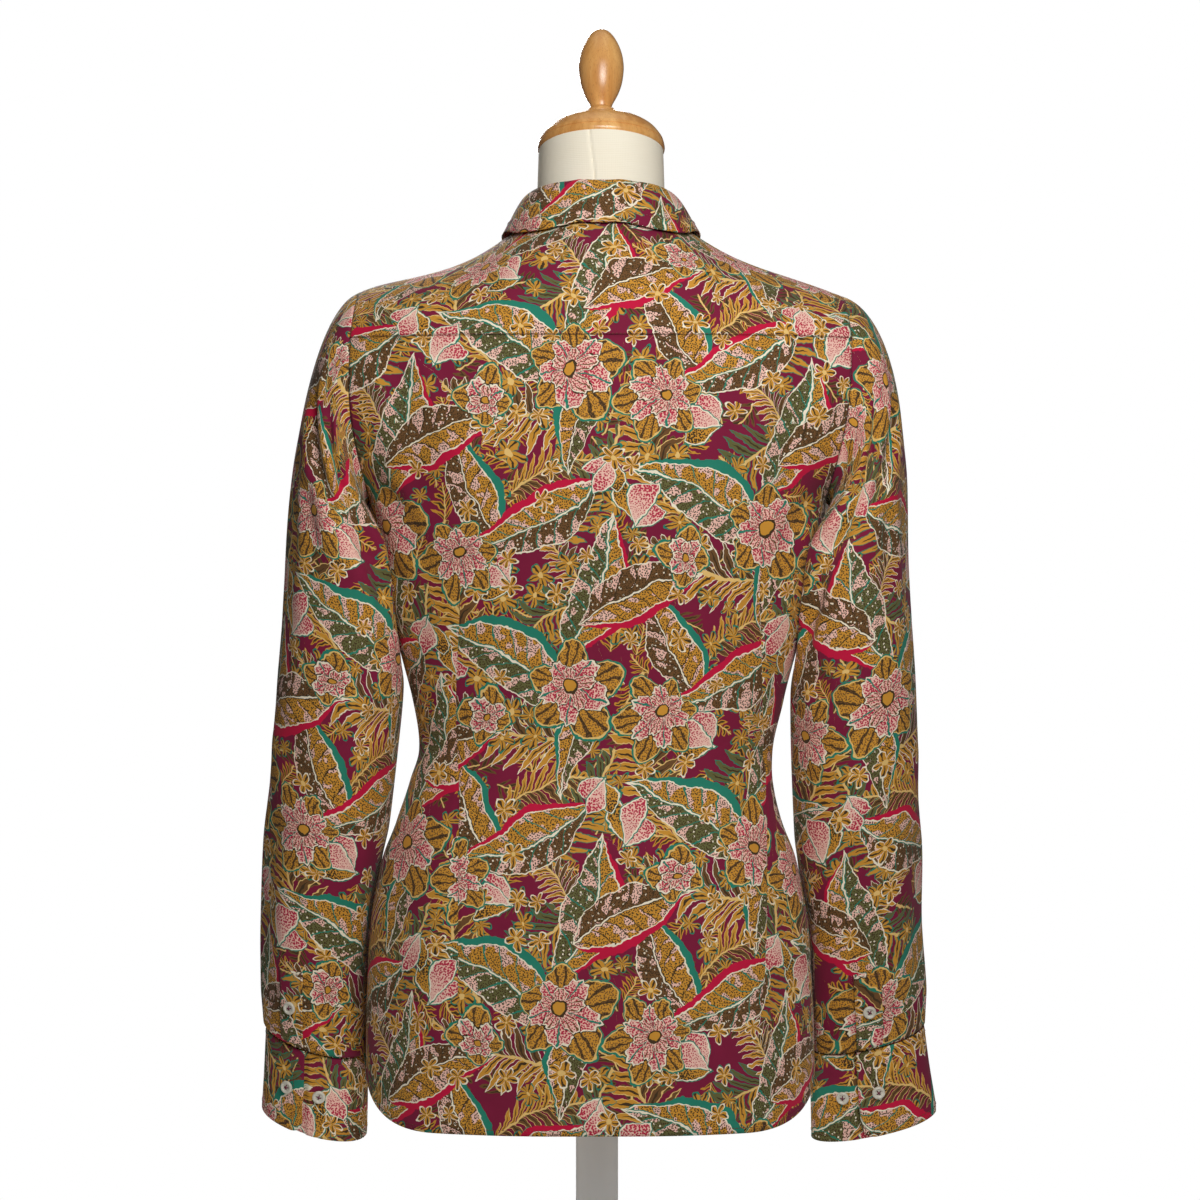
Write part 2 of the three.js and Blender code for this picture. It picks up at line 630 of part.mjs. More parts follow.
// The cuff is a band whose free end laps over its other end, with a rounded corner.
function cuffPoint(hand, angle, down, out) {
  const bottom = CUFF_SECTIONS[0].z - (hand < 0 ? CUFF.rightLonger : 0);
  const z = mix(CUFF_SECTIONS[2].z, bottom, down);
  const point = ringPoint(CUFF_SECTIONS, hand, z, angle);
  const middle = inArm(hand, WRIST.x, point.y - CUFF.reach * Math.sin(radians(angle)), point.z);
  return point.addScaledVector(point.clone().sub(middle).setZ(0).normalize(), out);
}

function cuffGrid(hand) {
  const end = lapFrom(hand);
  const angles = [end, end + 4, end + 14, ...shares(20).slice(2).map((t) => end + t * (360 + CUFF.lap))];
  return shares(3).map((down) =>
    angles.map((angle) => {
      const fromEnd = radians(angle - end) * CUFF.reach;
      const intoCorner = Math.max(0, CUFF.corner - fromEnd);
      const cut = CUFF.corner - Math.sqrt(CUFF.corner ** 2 - intoCorner ** 2);
      const drop = down === 1 ? 1 - cut / CUFF.height : down;
      return cuffPoint(hand, angle, drop, LAYER * (1 - ease((angle - end - CUFF.lap) / CUFF.fade)));
    }),
  );
}

function addCuff(hand, name) {
  const grid = pullIn(cuffGrid(hand), "bottom");
  add(`cuff_${name}`, wall(grid, inArm(hand, WRIST.x, WRIST.y, WRIST.cuffZ)), print);
}

// The placket's strip lies on the sleeve, over the slit that rises from the cuff's opening.
function placketPoint(hand, across, up) {
  const z = SLEEVE[0].z + up;
  const angle = lapFrom(hand) + degrees(across / CUFF.reach);
  return ringPoint(SLEEVE, hand, z, angle);
}

function addPlacket(hand, name) {
  const rows = shares(5).map((t) =>
    shares(3).map((w) => placketPoint(hand, w * PLACKET.width, mix(PLACKET.bottom, PLACKET.top, t))),
  );
  const inside = inArm(hand, WRIST.x, WRIST.y, WRIST.slitZ);
  const grid = movedOut(rows, () => LAYER + PLACKET.lift, inside);
  add(`sleeve_placket_${name}`, wall(grid, inside), print);
}

// ---- collar ----
// The stand follows the neckline. angle is 0 behind and 180 in front, past which its ends lap.
function standPoint(angle, rise) {
  const point = neckPoint(radians(angle));
  const front = Math.min(1, Math.abs(angle) / COLLAR.lowFrom);
  const height = mix(COLLAR.standBack, COLLAR.standFront, ease(front));
  const away = new THREE.Vector3(point.x - NECK_SHIFT, point.y - NECK.midY, 0).normalize();
  const onTop = angle < 0 ? LAYER * ease((-angle - STAND.onTopFrom) / STAND.onTopOver) : 0;
  return point.addScaledVector(away, onTop - COLLAR.foldIn * rise).setZ(point.z + height * rise);
}

function addStand() {
  const reach = 180 + STAND.lap;
  const angles = shares(22).map((t) => (2 * t - 1) * reach);
  const corner = (angle) => (Math.abs(angle) === reach ? STAND.endRise : 1);
  const rises = [STAND.startRise, 0.5, 1];
  const grid = rises.map((rise) => angles.map((angle) => standPoint(angle, rise * corner(angle))));
  add("collar_stand", wall(grid, NECK_MIDDLE), print);
}

// The leaf rolls over the stand's top and falls on the shoulders. share runs from -1 to 1 along the collar.
const edgeX = curve(COLLAR_EDGE, "share", "x");
const edgeTurn = curve(COLLAR_EDGE, "share", "turn");
function leafPoint(share, fall) {
  const top = standPoint(share * COLLAR.foldFront, 1);
  const away = new THREE.Vector3(top.x - NECK_SHIFT, top.y - NECK.midY, 0).normalize();
  const clear = share < 0 ? LAYER : LAYER + LAYER * ease((share - LEAF.clearFrom) / LEAF.clearOver);
  const fold = top.clone().addScaledVector(away, clear).setZ(top.z + COLLAR.foldUp);
  const roll = fold.clone().addScaledVector(away, LEAF.roll);
  const hand = share < 0 ? -1 : 1;
  const size = Math.abs(share);
  const x = hand * edgeX(size);
  const turn = edgeTurn(size);
  const edge = shoulderPoint(x, turn);
  const out = new THREE.Vector3(x, edge.y + RIDGE_Y, 0).normalize();
  edge.addScaledVector(out, LEAF.lift).setZ(edge.z + LEAF.lift);
  return new THREE.Vector3()
    .addScaledVector(fold, (1 - fall) ** 2)
    .addScaledVector(roll, 2 * fall * (1 - fall))
    .addScaledVector(edge, fall ** 2);
}

function addLeaf() {
  const along = shares(24).map((t) => 2 * t - 1);
  const grid = [1, 0.7, 0.4, 0.15, 0].map((fall) => along.map((share) => leafPoint(share, fall)));
  add("collar_leaf", wall(grid, NECK_MIDDLE), print);
}

// ---- buttons ----
function addButton(name, place, outward, radius) {
  const { height, rim } = BUTTON;
  const profile = [
    [0, 0],
    [radius, 0],
    [radius, rim],
    [radius - 1, height],
    [radius - 2.2, rim],
    [0, rim],
  ];
  const geometry = new THREE.LatheGeometry(profile.map(([r, h]) => new THREE.Vector2(r, h)), 12);
  const mesh = add(name, geometry, pearl);
  mesh.quaternion.setFromUnitVectors(new THREE.Vector3(0, 1, 0), outward.clone().normalize());
  mesh.position.copy(place).addScaledVector(outward.clone().normalize(), BUTTON.gap);
  return mesh;
}

// The outward normal where two small steps over a surface lead away from a point.
function outwardAt(point, across, up, inside) {
  const normal = across.clone().sub(point).cross(up.clone().sub(point)).normalize();
  return normal.dot(point.clone().sub(inside)) < 0 ? normal.negate() : normal;
}

function addFrontButtons() {
  for (let i = 0; i < BUTTON.count; i += 1) {
    const z = BUTTON.topZ - i * BUTTON.pitch;
    const at = (x, height) => bodyPoint(FRONT, height, Math.sign(x) * shareAt(FRONT, height, Math.abs(x)));
    const point = at(0, z);
    const normal = outwardAt(point, at(3, z), at(0, z + 3), CHEST_MIDDLE);
    addButton(`button_front_${i + 1}`, point.addScaledVector(normal, 2 * LAYER), normal, BUTTON.radius);
  }
  const base = standPoint(-180, 0.5);
  const normal = outwardAt(base, standPoint(-178, 0.5), standPoint(-180, 0.7), NECK_MIDDLE);
  addButton("button_collar", base, normal, BUTTON.small);
}

// Each cuff has two buttons side by side, so that it can be done up tighter, and the placket has one.
function addSleeveButtons(hand, name) {
  const middle = inArm(hand, WRIST.x, WRIST.y, WRIST.cuffZ);
  CUFF_BUTTONS.forEach(({ label, turned, out }) => {
    const angle = lapFrom(hand) + turned;
    const at = (turn, down) => cuffPoint(hand, turn, down, out * LAYER);
    const point = at(angle, 0.5);
    const normal = outwardAt(point, at(angle + 3, 0.5), at(angle, 0.4), middle);
    addButton(`button_cuff_${label}_${name}`, point, normal, BUTTON.small);
  });
  const half = PLACKET.width / 2;
  const point = placketPoint(hand, half, PLACKET.button);
  const across = placketPoint(hand, half + 3, PLACKET.button);
  const normal = outwardAt(point, across, placketPoint(hand, half, PLACKET.button + 3), middle);
  point.addScaledVector(normal, LAYER + PLACKET.lift);
  addButton(`button_placket_${name}`, point, normal, BUTTON.small);
}

// ---- dress form and stand ----
function addForm() {
  const around = shares(24).slice(1).map((t) => -2 * Math.PI * t);
  const section = (angle, z, wide, deep) => {
    const side = Math.cos(angle) >= 0 ? BACK : FRONT;
    const round = (value) => Math.sign(value) * Math.abs(value) ** (2 / SECTION_POWER);
    const x = bodyHalf(z) * wide * round(Math.sin(angle));
    return new THREE.Vector3(x + bodyShift(z), side.depth(z) * deep * round(Math.cos(angle)), z);
  };
  const trunk = FORM_RINGS.map(({ z, wide, deep }) => around.map((angle) => section(angle, z, wide, deep)));
  const neckAt = (angle, half) =>
    new THREE.Vector3(half * Math.sin(angle) + NECK_SHIFT, FORM.neckY + half * Math.cos(angle), 0);
  const shoulders = FORM.shoulderRows.map((t) =>
    around.map((angle, j) => {
      const plan = neckAt(angle, FORM.neckHalf).lerp(trunk[trunk.length - 1][j], Math.cos(radians(90 * t)));
      const x = plan.x - NECK_SHIFT;
      const cover = shoulderPoint(x, turnOver(x, plan.y)).z - FORM.clearance;
      return plan.setZ(mix(FORM.topZ, cover, Math.sin(radians(90 * t)) ** FORM.roundness));
    }),
  );
  const slope = Math.tan(radians(FORM.neckTilt));
  const neck = [
    { z: 872, half: 49, tilt: 0.5 },
    { z: FORM.neckTopZ, half: FORM.neckTopHalf, tilt: 1 },
  ].map(({ z, half, tilt }) =>
    around.map((angle) => neckAt(angle, half).setZ(z + tilt * slope * half * Math.cos(angle))),
  );
  add("form_torso", solidThrough([...trunk, ...shoulders, ...neck]), linen);
}

// The wooden cap and finial stand square to the neck's sloping top.
function addCapAndFinial() {
  const top = new THREE.Group();
  top.position.set(NECK_SHIFT, FORM.neckY, FORM.neckTopZ);
  top.rotation.x = radians(90 + FORM.neckTilt);
  model.add(top);
  for (const [name, profile] of Object.entries({ neck_cap: CAP_PROFILE, finial: FINIAL_PROFILE })) {
    const mesh = new THREE.Mesh(
      new THREE.LatheGeometry(profile.map(({ r, h }) => new THREE.Vector2(r, h)), 20),
      beech,
    );
    mesh.name = name;
    top.add(mesh);
  }
}

function addStandAndBase() {
  const { radius, height, bevel } = BASE;
  const profile = [
    [0, 0],
    [radius - 2, 0],
    [radius, 2],
    [radius, height - bevel],
    [radius - bevel, height],
    [0, height],
  ];
  const base = new THREE.LatheGeometry(profile.map(([r, h]) => new THREE.Vector2(r, h)), 40);
  add("stand_base", base.rotateX(Math.PI / 2), painted);
  const length = FORM_RINGS[0].z - BASE.height - 2 * SEAM;
  const stem = new THREE.CylinderGeometry(STEM_RADIUS, STEM_RADIUS, length, 24).rotateX(Math.PI / 2);
  add("stand_stem", stem, painted).position.set(0, 0, BASE.height + SEAM + length / 2);
}

addStandAndBase();
addForm();
addCapAndFinial();
addBack();
addYoke();
addFronts();
addStand();
addLeaf();
addFrontButtons();
for (const [hand, name] of [[1, "left"], [-1, "right"]]) {
  addSleeve(hand, name);
  addCuff(hand, name);
  addPlacket(hand, name);
  addSleeveButtons(hand, name);
}

export default model;
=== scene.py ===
"""A fitted shirt in a printed cotton, buttoned up on a limbless dress form.

The shapes are worked out in millimetres in the part's own frame: +Z up, the front faces -Y and the wearer's
left is +X. Meshes are written in metres. UV maps hold metres of flat cloth, so one print runs at one scale.
"""

import math

import bpy
import numpy as np
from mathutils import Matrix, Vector


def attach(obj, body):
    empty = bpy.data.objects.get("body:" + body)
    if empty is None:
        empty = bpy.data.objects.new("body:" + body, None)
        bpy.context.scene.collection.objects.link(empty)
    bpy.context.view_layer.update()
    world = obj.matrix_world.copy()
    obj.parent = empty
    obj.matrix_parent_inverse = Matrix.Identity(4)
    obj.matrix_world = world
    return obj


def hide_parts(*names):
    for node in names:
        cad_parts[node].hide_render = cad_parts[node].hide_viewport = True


MM = 0.001
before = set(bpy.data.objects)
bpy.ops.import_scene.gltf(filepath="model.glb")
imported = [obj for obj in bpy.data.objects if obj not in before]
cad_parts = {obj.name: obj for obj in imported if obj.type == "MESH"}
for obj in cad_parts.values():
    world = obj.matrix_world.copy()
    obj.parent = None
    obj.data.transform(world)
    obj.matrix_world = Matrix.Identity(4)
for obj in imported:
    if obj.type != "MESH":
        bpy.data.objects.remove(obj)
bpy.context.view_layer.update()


def table(columns, *rows):
    """Rows of values under named columns."""
    return [dict(zip(columns.split(), row)) for row in rows]


# ---- sizes, in millimetres ----
THICKNESS = 0.7  # of one layer of cloth, as shown
LAYER = 1.7  # how far a layer stands out over the one under it
SEAM_DEPTH = 0.35
SLEEVE_SEAM_DEPTH = 0.1
DART_DEPTH = 0.9
STITCH_HEIGHT = 0.15
WAVE = 0.5  # the height of the cloth's small unevenness on the body
SECTION_POWER = 2.35
HEM = {"z": 164, "rise": 44, "start": 0.44, "level_z": 300, "fold": 6, "stands_out": 0.45}
UNDERARM_Z = 632
YOKE_Z = 754
ARMHOLE = {"mid_z": 711, "half_height": 79, "half_depth": 62}
RIDGE_Y = -5
YOKE_FRONT = {"y": -30, "x": 180.5}
NECK = {"mid_y": -12, "half_width": 62, "half_depth": 64}
NECK_SHIFT = -3
BACK_NECK, FRONT_NECK = 0.5, 0.4  # the shares of an upper edge that the neckline takes
CHEST_STEP = 1.5
BUST = {"x": 86, "z": 596, "rise": 12, "spread_x": 46, "spread_z": 58}
FRONT_LAP = 15
BAND_EDGE = 12
CUFF = {"left_from": 100, "right_from": 78, "lap": 38, "fade": 50, "corner": 9, "height": 64, "reach": 37}
RIGHT_CUFF_LONGER = 4
TILT = {"left": 0.27, "right": 0.21, "back": -0.32}
SLEEVE_TILT_FROM = 330
SLEEVE_CLEARANCE = 1.5
CLEARANCE_SOFTNESS = 3
HEAD = {"left_out": 0.53, "right_out": 0.72, "down": 0.25, "arrive": 0.9, "free_from": 0.5}
SLEEVE_ROUND = 330  # the distance round a sleeve, at which its creases recur
SLIT = {"depth": 2.6, "middle": 0.6, "width": 1.9, "above": 14, "over": 30}  # beside a placket
CUFF_TUCK = {"from": 355.5, "over": 3.5, "depth": 2.2}  # its inner end, in degrees round the arm
CALM_FRONT = {"from": 14, "over": 30}  # how far from the centre line the fronts' creases set in
UPPER_FRONT = {"from": 0.1, "over": 0.26}  # the shares over which the upper front's lift fades out
SEAM_FADE = 5  # rows or columns over which creases fade at a seam
PLACKET = {"width": 16, "bottom": 3, "top": 56, "button": 30, "lift": 0.6}
STAND = {"back": 30.5, "front": 21, "low_from": 105, "lean": 8.5, "lap": 12}
STAND |= {"on_top_from": 140, "on_top_over": 25, "start_rise": 0.14, "end_rise": 0.6, "end": 11}
LEAF = {"front": 172, "up": 2, "roll": 6, "lift": 2.4, "clear_from": 0.78, "clear_over": 0.14}
BUTTON = {"radius": 5.5, "small": 5, "gap": 0.9, "pitch": 82, "top_z": 736, "count": 7}
HOLE = {"from_middle": 1.15, "radius": 0.55, "depth": 0.9}
STRAND = {"sides": 6, "crossing": 0.25, "shank": 0.4, "apart": 0.125}  # the buttons' thread
FORM = {"top_z": 740, "clearance": 12, "roundness": 0.6, "neck_y": -8, "neck_half": 49.5}
FORM_SEAM = {"low_z": 879, "length": 38, "depth": 1.1, "width": 0.9}
NECK_TOP = {"half": 47.5, "z": 899, "tilt": 15}
BASE = {"radius": 150, "height": 18}
STEM = {"radius": 16, "low_z": 18.3, "high_z": 235.7}
# Points inside the trunk, the neck, and a cuff or placket of the wearer's left: faces point away from them.
CHEST = (0, 0, 480)
NECK_MIDDLE = (0, NECK["mid_y"], 760)
ARM = {"x": 210, "y": -32, "cuff_z": 192, "placket_z": 260}

# Sections of the body: half width, sideways shift, and depth behind and before the origin.
BODY = table(
    "z half shift back front",
    (150, 170, 5, 110, 102),
    (215, 170, 5, 110, 102),
    (300, 167, 6, 104, 99),
    (360, 157.5, 6, 94, 94),
    (391, 146, 6, 86, 90),
    (421, 137.5, 4.5, 78, 87),
    (444, 134, 1, 75, 87),
    (482, 140.5, -1, 76, 92),
    (512, 148.5, -1, 79, 99),
    (560, 161.5, 0, 86, 108),
    (600, 169, 0, 93, 111),
    (632, 173, -0.5, 97, 110),
    (700, 173, -1.5, 99, 99),
    (754, 173, -3, 94, 85),
)
ARMHOLE_EDGE = table(
    "z back front",
    (632, 173, 173),
    (645, 175, 170),
    (665, 180, 166),
    (700, 186, 165),
    (725, 187.5, 170),
    (754, 188, 178),
)
RIDGE = table(
    "x left right",
    (0, 870, 870),
    (14, 869, 869),
    (28, 863.5, 863.5),
    (44, 855, 855),
    (62, 842, 842),
    (84, 825, 828),
    (98, 817, 820.5),
    (117, 810, 812.5),
    (139, 804, 804.5),
    (165, 798, 795.5),
    (184, 792, 789),
    (192, 788, 786.5),
)
# Sections of each arm: how far out the middle is, half width, half depth, and y of the middle.
SECTION = "z out half depth y"
SLEEVE = {
    "left": table(
        SECTION,
        (226, 215, 40.8, 36, -28),
        (244, 215.2, 41.4, 39, -26),
        (275, 214.5, 42.4, 42, -22),
        (310, 212.5, 44, 45, -16),
        (375, 206, 47, 49, -7),
        (436, 200, 48, 52, 0),
        (497, 194.2, 48.6, 56, 5),
        (545, 191.5, 47, 59, 7),
        (590, 190.5, 44, 61, 8),
    ),
    "right": table(
        SECTION,
        (226, 206.5, 45, 30, -28),
        (244, 206.2, 45.8, 34, -26),
        (275, 204, 46.5, 39, -22),
        (310, 201.5, 46.5, 44, -16),
        (375, 198.5, 48.5, 48, -7),
        (436, 196, 48.5, 52, 0),
        (497, 194, 48, 56, 5),
        (545, 192.5, 46, 59, 7),
        (590, 191.5, 43.8, 61, 8),
    ),
}
CUFF_SECTIONS = {
    "left": table(
        SECTION,
        (160, 217, 40.5, 33, -38),
        (192, 215.5, 39.9, 33, -33),
        (224, 214.5, 39, 33.5, -28),
    ),
    "right": table(
        SECTION,
        (160, 212.5, 48, 24, -38),
        (192, 209, 46, 25, -33),
        (224, 206.5, 44, 27, -28),
    ),
}
COLLAR_EDGE = table(
    "share x turn",
    (0, 0, 49),
    (0.2, 38, 52.5),
    (0.4, 64, 67),
    (0.56, 73, 99),
    (0.76, 68, 134),
    (1, 47, 181),
)
FORM_RINGS = table(
    "z wide deep",
    (236, 0.85, 0.83),
    (262, 0.9, 0.88),
    (330, 0.9, 0.89),
    (400, 0.88, 0.88),
    (444, 0.87, 0.87),
    (512, 0.89, 0.89),
    (600, 0.92, 0.93),
    (670, 0.93, 0.94),
    (740, 0.93, 0.94),
)
# The long darts of the back and the fronts: how far out they lie on either side at each height.
DART_LINE = table(
    "z back_left back_right front_left front_right",
    (254, 103, 124, 84, 84),
    (338, 103, 128, 82, 82),
    (406, 103, 128, 80, 80),
    (467, 106, 126, 80, 80),
    (558, 102, 122, 84, 84),
    (588, 101, 121, 86, 86),
)
DART_INTAKE = table(
    "z taken",
    (254, 0),
    (430, 27),
    (588, 0),
)


def ease(t):
    t = np.clip(t, 0, 1)
    return t * t * (3 - 2 * t)


def mix(a, b, t):
    return a + (b - a) * t


def unit(vectors):
    return vectors / np.maximum(np.linalg.norm(vectors, axis=-1, keepdims=True), 1e-12)


def point_at(x, y, z):
    return np.stack(np.broadcast_arrays(x, y, z), -1)


def near(value, middle, spread):
    """1 at middle, falling softly to 0 on either side."""
    return np.exp(-(((value - middle) / spread) ** 2))


def curve(rows, at, column):
    """A smooth curve through one column of a table, with no overshoot between its rows."""
    x = np.array([row[at] for row in rows], float)
    y = np.array([row[column] for row in rows], float)
    slope = np.diff(y) / np.diff(x)
    before, after = slope[:-1], slope[1:]
    same = before * after > 0
    inner = np.where(same, 2 * before * after / np.where(same, before + after, 1), 0)
    tangent = np.concatenate([slope[:1], inner, slope[-1:]])

    def read(value):
        v = np.clip(value, x[0], x[-1])
        i = np.clip(np.searchsorted(x, v) - 1, 0, len(x) - 2)
        step = x[i + 1] - x[i]
        t = (v - x[i]) / step
        u = 1 - t
        start, end = y[i] * (1 + 2 * t) * u * u, y[i + 1] * t * t * (3 - 2 * t)
        return start + tangent[i] * step * t * u * u + end - tangent[i + 1] * step * t * t * u

    return read


# ---- the surfaces of the shirt ----
body_half = curve(BODY, "z", "half")
body_shift = curve(BODY, "z", "shift")
ridge_left = curve(RIDGE, "x", "left")
ridge_right = curve(RIDGE, "x", "right")
edge_x = curve(COLLAR_EDGE, "share", "x")
edge_turn = curve(COLLAR_EDGE, "share", "turn")
dart_intake = curve(DART_INTAKE, "z", "taken")
BACK, FRONT = (
    {"sign": sign, "depth": curve(BODY, "z", side), "edge": curve(ARMHOLE_EDGE, "z", side), "dome": dome}
    for side, sign, dome in (("back", 1, 1.7), ("front", -1, 1.25))
)


def armhole_depth(z):
    up = (z - ARMHOLE["mid_z"]) / ARMHOLE["half_height"]
    return np.where(z > UNDERARM_Z, ARMHOLE["half_depth"] * np.sqrt(np.clip(1 - up**2, 0, 1)), 0)


def section_half(side, z):
    cut = (armhole_depth(z) / side["depth"](z)) ** SECTION_POWER
    return np.where(z > UNDERARM_Z, side["edge"](z) / (1 - cut) ** (1 / SECTION_POWER), body_half(z))


def section_depth(side, z, x):
    share = np.minimum(1, np.abs(x) / section_half(side, z))
    away = ((np.abs(x) - BUST["x"]) / BUST["spread_x"]) ** 2 + ((z - BUST["z"]) / BUST["spread_z"]) ** 2
    bust = BUST["rise"] * np.exp(-away) * (1 - share**6) ** 2 if side is FRONT else 0
    return side["depth"](z) * (1 - share**SECTION_POWER) ** (1 / SECTION_POWER) + bust


def last_angle(side, z):
    return np.arccos((armhole_depth(z) / side["depth"](z)) ** (SECTION_POWER / 2))


def body_point(side, z, share):
    """A point of the back or a front, below the yoke: share runs from 0 in the middle to 1 at the side."""
    z, share = np.broadcast_arrays(np.asarray(z, float), share)
    angle = np.minimum(1, np.abs(share)) * last_angle(side, z)
    x = np.sign(share) * section_half(side, z) * np.sin(angle) ** (2 / SECTION_POWER)
    return point_at(x + body_shift(z), side["sign"] * section_depth(side, z, x), z)


def share_at(side, z, x):
    return np.arcsin((x / section_half(side, z)) ** (SECTION_POWER / 2)) / last_angle(side, z)


def shoulder_point(x, turn):
    """The shoulders: turn is 0 at the yoke's back seam, 90 on the ridge, 180 on the chest and more below."""
    x, turn = np.broadcast_arrays(np.asarray(x, float), turn)
    behind = turn <= 90
    z = np.where(turn > 180, YOKE_Z - (turn - 180) * CHEST_STEP, YOKE_Z)
    end_y = np.where(behind, section_depth(BACK, YOKE_Z, x), -section_depth(FRONT, z, x))
    power = np.where(behind, 2 / BACK["dome"], 2 / FRONT["dome"])
    angle = np.radians(np.clip(np.where(behind, turn, 180 - turn), 0, 90))
    y = RIDGE_Y + (end_y - RIDGE_Y) * np.maximum(0, np.cos(angle)) ** power
    top = np.where(x < 0, ridge_right(-x), ridge_left(x))
    z = z + (top - YOKE_Z) * np.maximum(0, np.sin(angle)) ** power
    return point_at(x + NECK_SHIFT, y, z)


def turn_over(x, y):
    """The turn at which the shoulders pass over a place in plan."""
    behind = y >= RIDGE_Y
    end_y = np.where(behind, section_depth(BACK, YOKE_Z, x), -section_depth(FRONT, YOKE_Z, x))
    share = np.clip((y - RIDGE_Y) / (end_y - RIDGE_Y), 0, 1)
    turn = np.degrees(np.arccos(share ** (np.where(behind, BACK["dome"], FRONT["dome"]) / 2)))
    return np.where(behind, turn, 180 - turn)


NECK_CORNER = math.acos((YOKE_FRONT["y"] - NECK["mid_y"]) / NECK["half_depth"])


def neck_plan(angle):
    return NECK["half_width"] * np.sin(angle), NECK["mid_y"] + NECK["half_depth"] * np.cos(angle)


def upper_edge(share, neck_share, from_angle):
    """Plan points of the upper edge of the yoke or a front: the neckline, then the yoke's front seam."""
    hand = np.where(share < 0, -1, 1)
    along = np.abs(share) / neck_share
    neck_x, neck_y = neck_plan(hand * mix(from_angle, NECK_CORNER, np.minimum(1, along)))
    out = np.clip((np.abs(share) - neck_share) / (1 - neck_share), 0, 1)
    seam_x = mix(neck_plan(hand * NECK_CORNER)[0], hand * YOKE_FRONT["x"], out)
    return np.where(along <= 1, neck_x, seam_x), np.where(along <= 1, neck_y, YOKE_FRONT["y"])


def climb_to(end, side, start_x, rise):
    start_turn = 0 if side is BACK else 180
    return shoulder_point(mix(start_x, end[0], rise), mix(start_turn, turn_over(*end), rise))


def upper_point(side, share, rise):
    """A point above the yoke's back seam, or above the same height in front, up to the upper edge."""
    start_x = body_point(side, YOKE_Z, share)[..., 0] - NECK_SHIFT
    end = upper_edge(share, BACK_NECK, 0) if side is BACK else upper_edge(share, FRONT_NECK, math.pi)
    return climb_to(end, side, start_x, rise)


def level_at(level, share):
    """The hem rises towards the sides, and so do the rows above it as far as level_z."""
    climb = HEM["rise"] * np.clip((np.abs(share) - HEM["start"]) / (1 - HEM["start"]), 0, 1) ** 2
    return level + climb * np.clip((HEM["level_z"] - level) / (HEM["level_z"] - HEM["z"]), 0, 1)


# ---- grids of points and the meshes made from them ----
def turned_out(vectors, sample, point, inside):
    """The vectors, turned round if the sample of them at point looks towards the inside."""
    return -vectors if np.dot(sample, point - np.array(inside)) < 0 else vectors


def normals_of(grid, inside, closed=False):
    along = np.roll(grid, -1, 1) - np.roll(grid, 1, 1) if closed else np.gradient(grid, axis=1)
    normals = unit(np.cross(along, np.gradient(grid, axis=0)))
    i, j = grid.shape[0] // 2, grid.shape[1] // 2
    return turned_out(normals, normals[i, j], grid[i, j], inside)


def arc_across(grid, start):
    """How far each point is along its row from the column called start."""
    steps = np.linalg.norm(np.diff(grid, axis=1), axis=-1)
    run = np.concatenate([np.zeros((grid.shape[0], 1)), np.cumsum(steps, 1)], 1)
    return run - run[:, start : start + 1]


def arc_up(grid):
    steps = np.linalg.norm(np.diff(grid, axis=0), axis=-1)
    return np.concatenate([np.zeros((1, grid.shape[1])), np.cumsum(steps, 0)], 0)


def smoothed(grid, weight, passes):
    """Evens a grid out along its columns where weight is above 0."""
    weight = np.broadcast_to(weight, grid.shape[:2])
    for _ in range(passes):
        middle = (grid[:-2] + 2 * grid[1:-1] + grid[2:]) / 4
        grid = grid.copy()
        grid[1:-1] = mix(grid[1:-1], middle, weight[1:-1, :, None])
    return grid


def creases(rows, across, up, period=None):
    """Soft troughs with a low ridge on either side, each widening and fading out towards its ends.

    period is the distance round a closed piece.
    """
    widening, ridge, ridge_at, ridge_width = 1.35, 0.4, 1.75, 0.75
    total = np.zeros(np.broadcast(across, up).shape)
    for fold in rows:
        run_x, run_z = fold["to_x"] - fold["x"], fold["to_z"] - fold["z"]
        length = math.hypot(run_x, run_z)
        off_x, off_z = across - fold["x"], up - fold["z"]
        if period:
            off_x = (off_x + period / 2) % period - period / 2
        t = (off_x * run_x + off_z * run_z) / length**2
        held = np.clip(t, 0, 1)
        side = (off_x * run_z - off_z * run_x) / length - fold["bow"] * 4 * held * (1 - held)
        past = (t - held) * length / fold["width"]
        strength = fold["depth"] * mix(1, fold["fade"], held) * near(past, 0, 1) * ease(4 * held + 0.35)
        r = side / (fold["width"] * mix(1, widening, held))
        total += strength * (ridge * near(np.abs(r), ridge_at, ridge_width) - near(r, 0, 1))
    return total


def soft_waves(across, up, height):
    """The small unevenness that hanging cloth always has."""
    slow = np.sin(across / 23 + up / 71) * np.sin(up / 47 - across / 90)
    quick = np.sin(across / 11 - up / 38 + 1.3) * np.sin(up / 29 + 0.4)
    return height * (slow + 0.45 * quick)


def edge_fade(shape, edges, reach):
    """1 inside a grid, falling to 0 over reach rows or columns at the named edges."""
    i, j = np.arange(shape[0])[:, None], np.arange(shape[1])[None, :]
    away = {"bottom": i, "top": shape[0] - 1 - i, "start": j, "end": shape[1] - 1 - j}
    fade = np.ones(shape[:2])
    for edge in edges:
        fade = fade * ease(away[edge] / reach)
    return fade


def seam_roll(shape, edges, depth=SEAM_DEPTH):
    """The edge at a seam turns in, so that the seam shows as a fine groove."""
    return -depth * (edge_fade(shape, edges, 1) == 0)


def new_object(name, data):
    made = bpy.data.objects.new(name, data)
    bpy.context.scene.collection.objects.link(made)
    return made


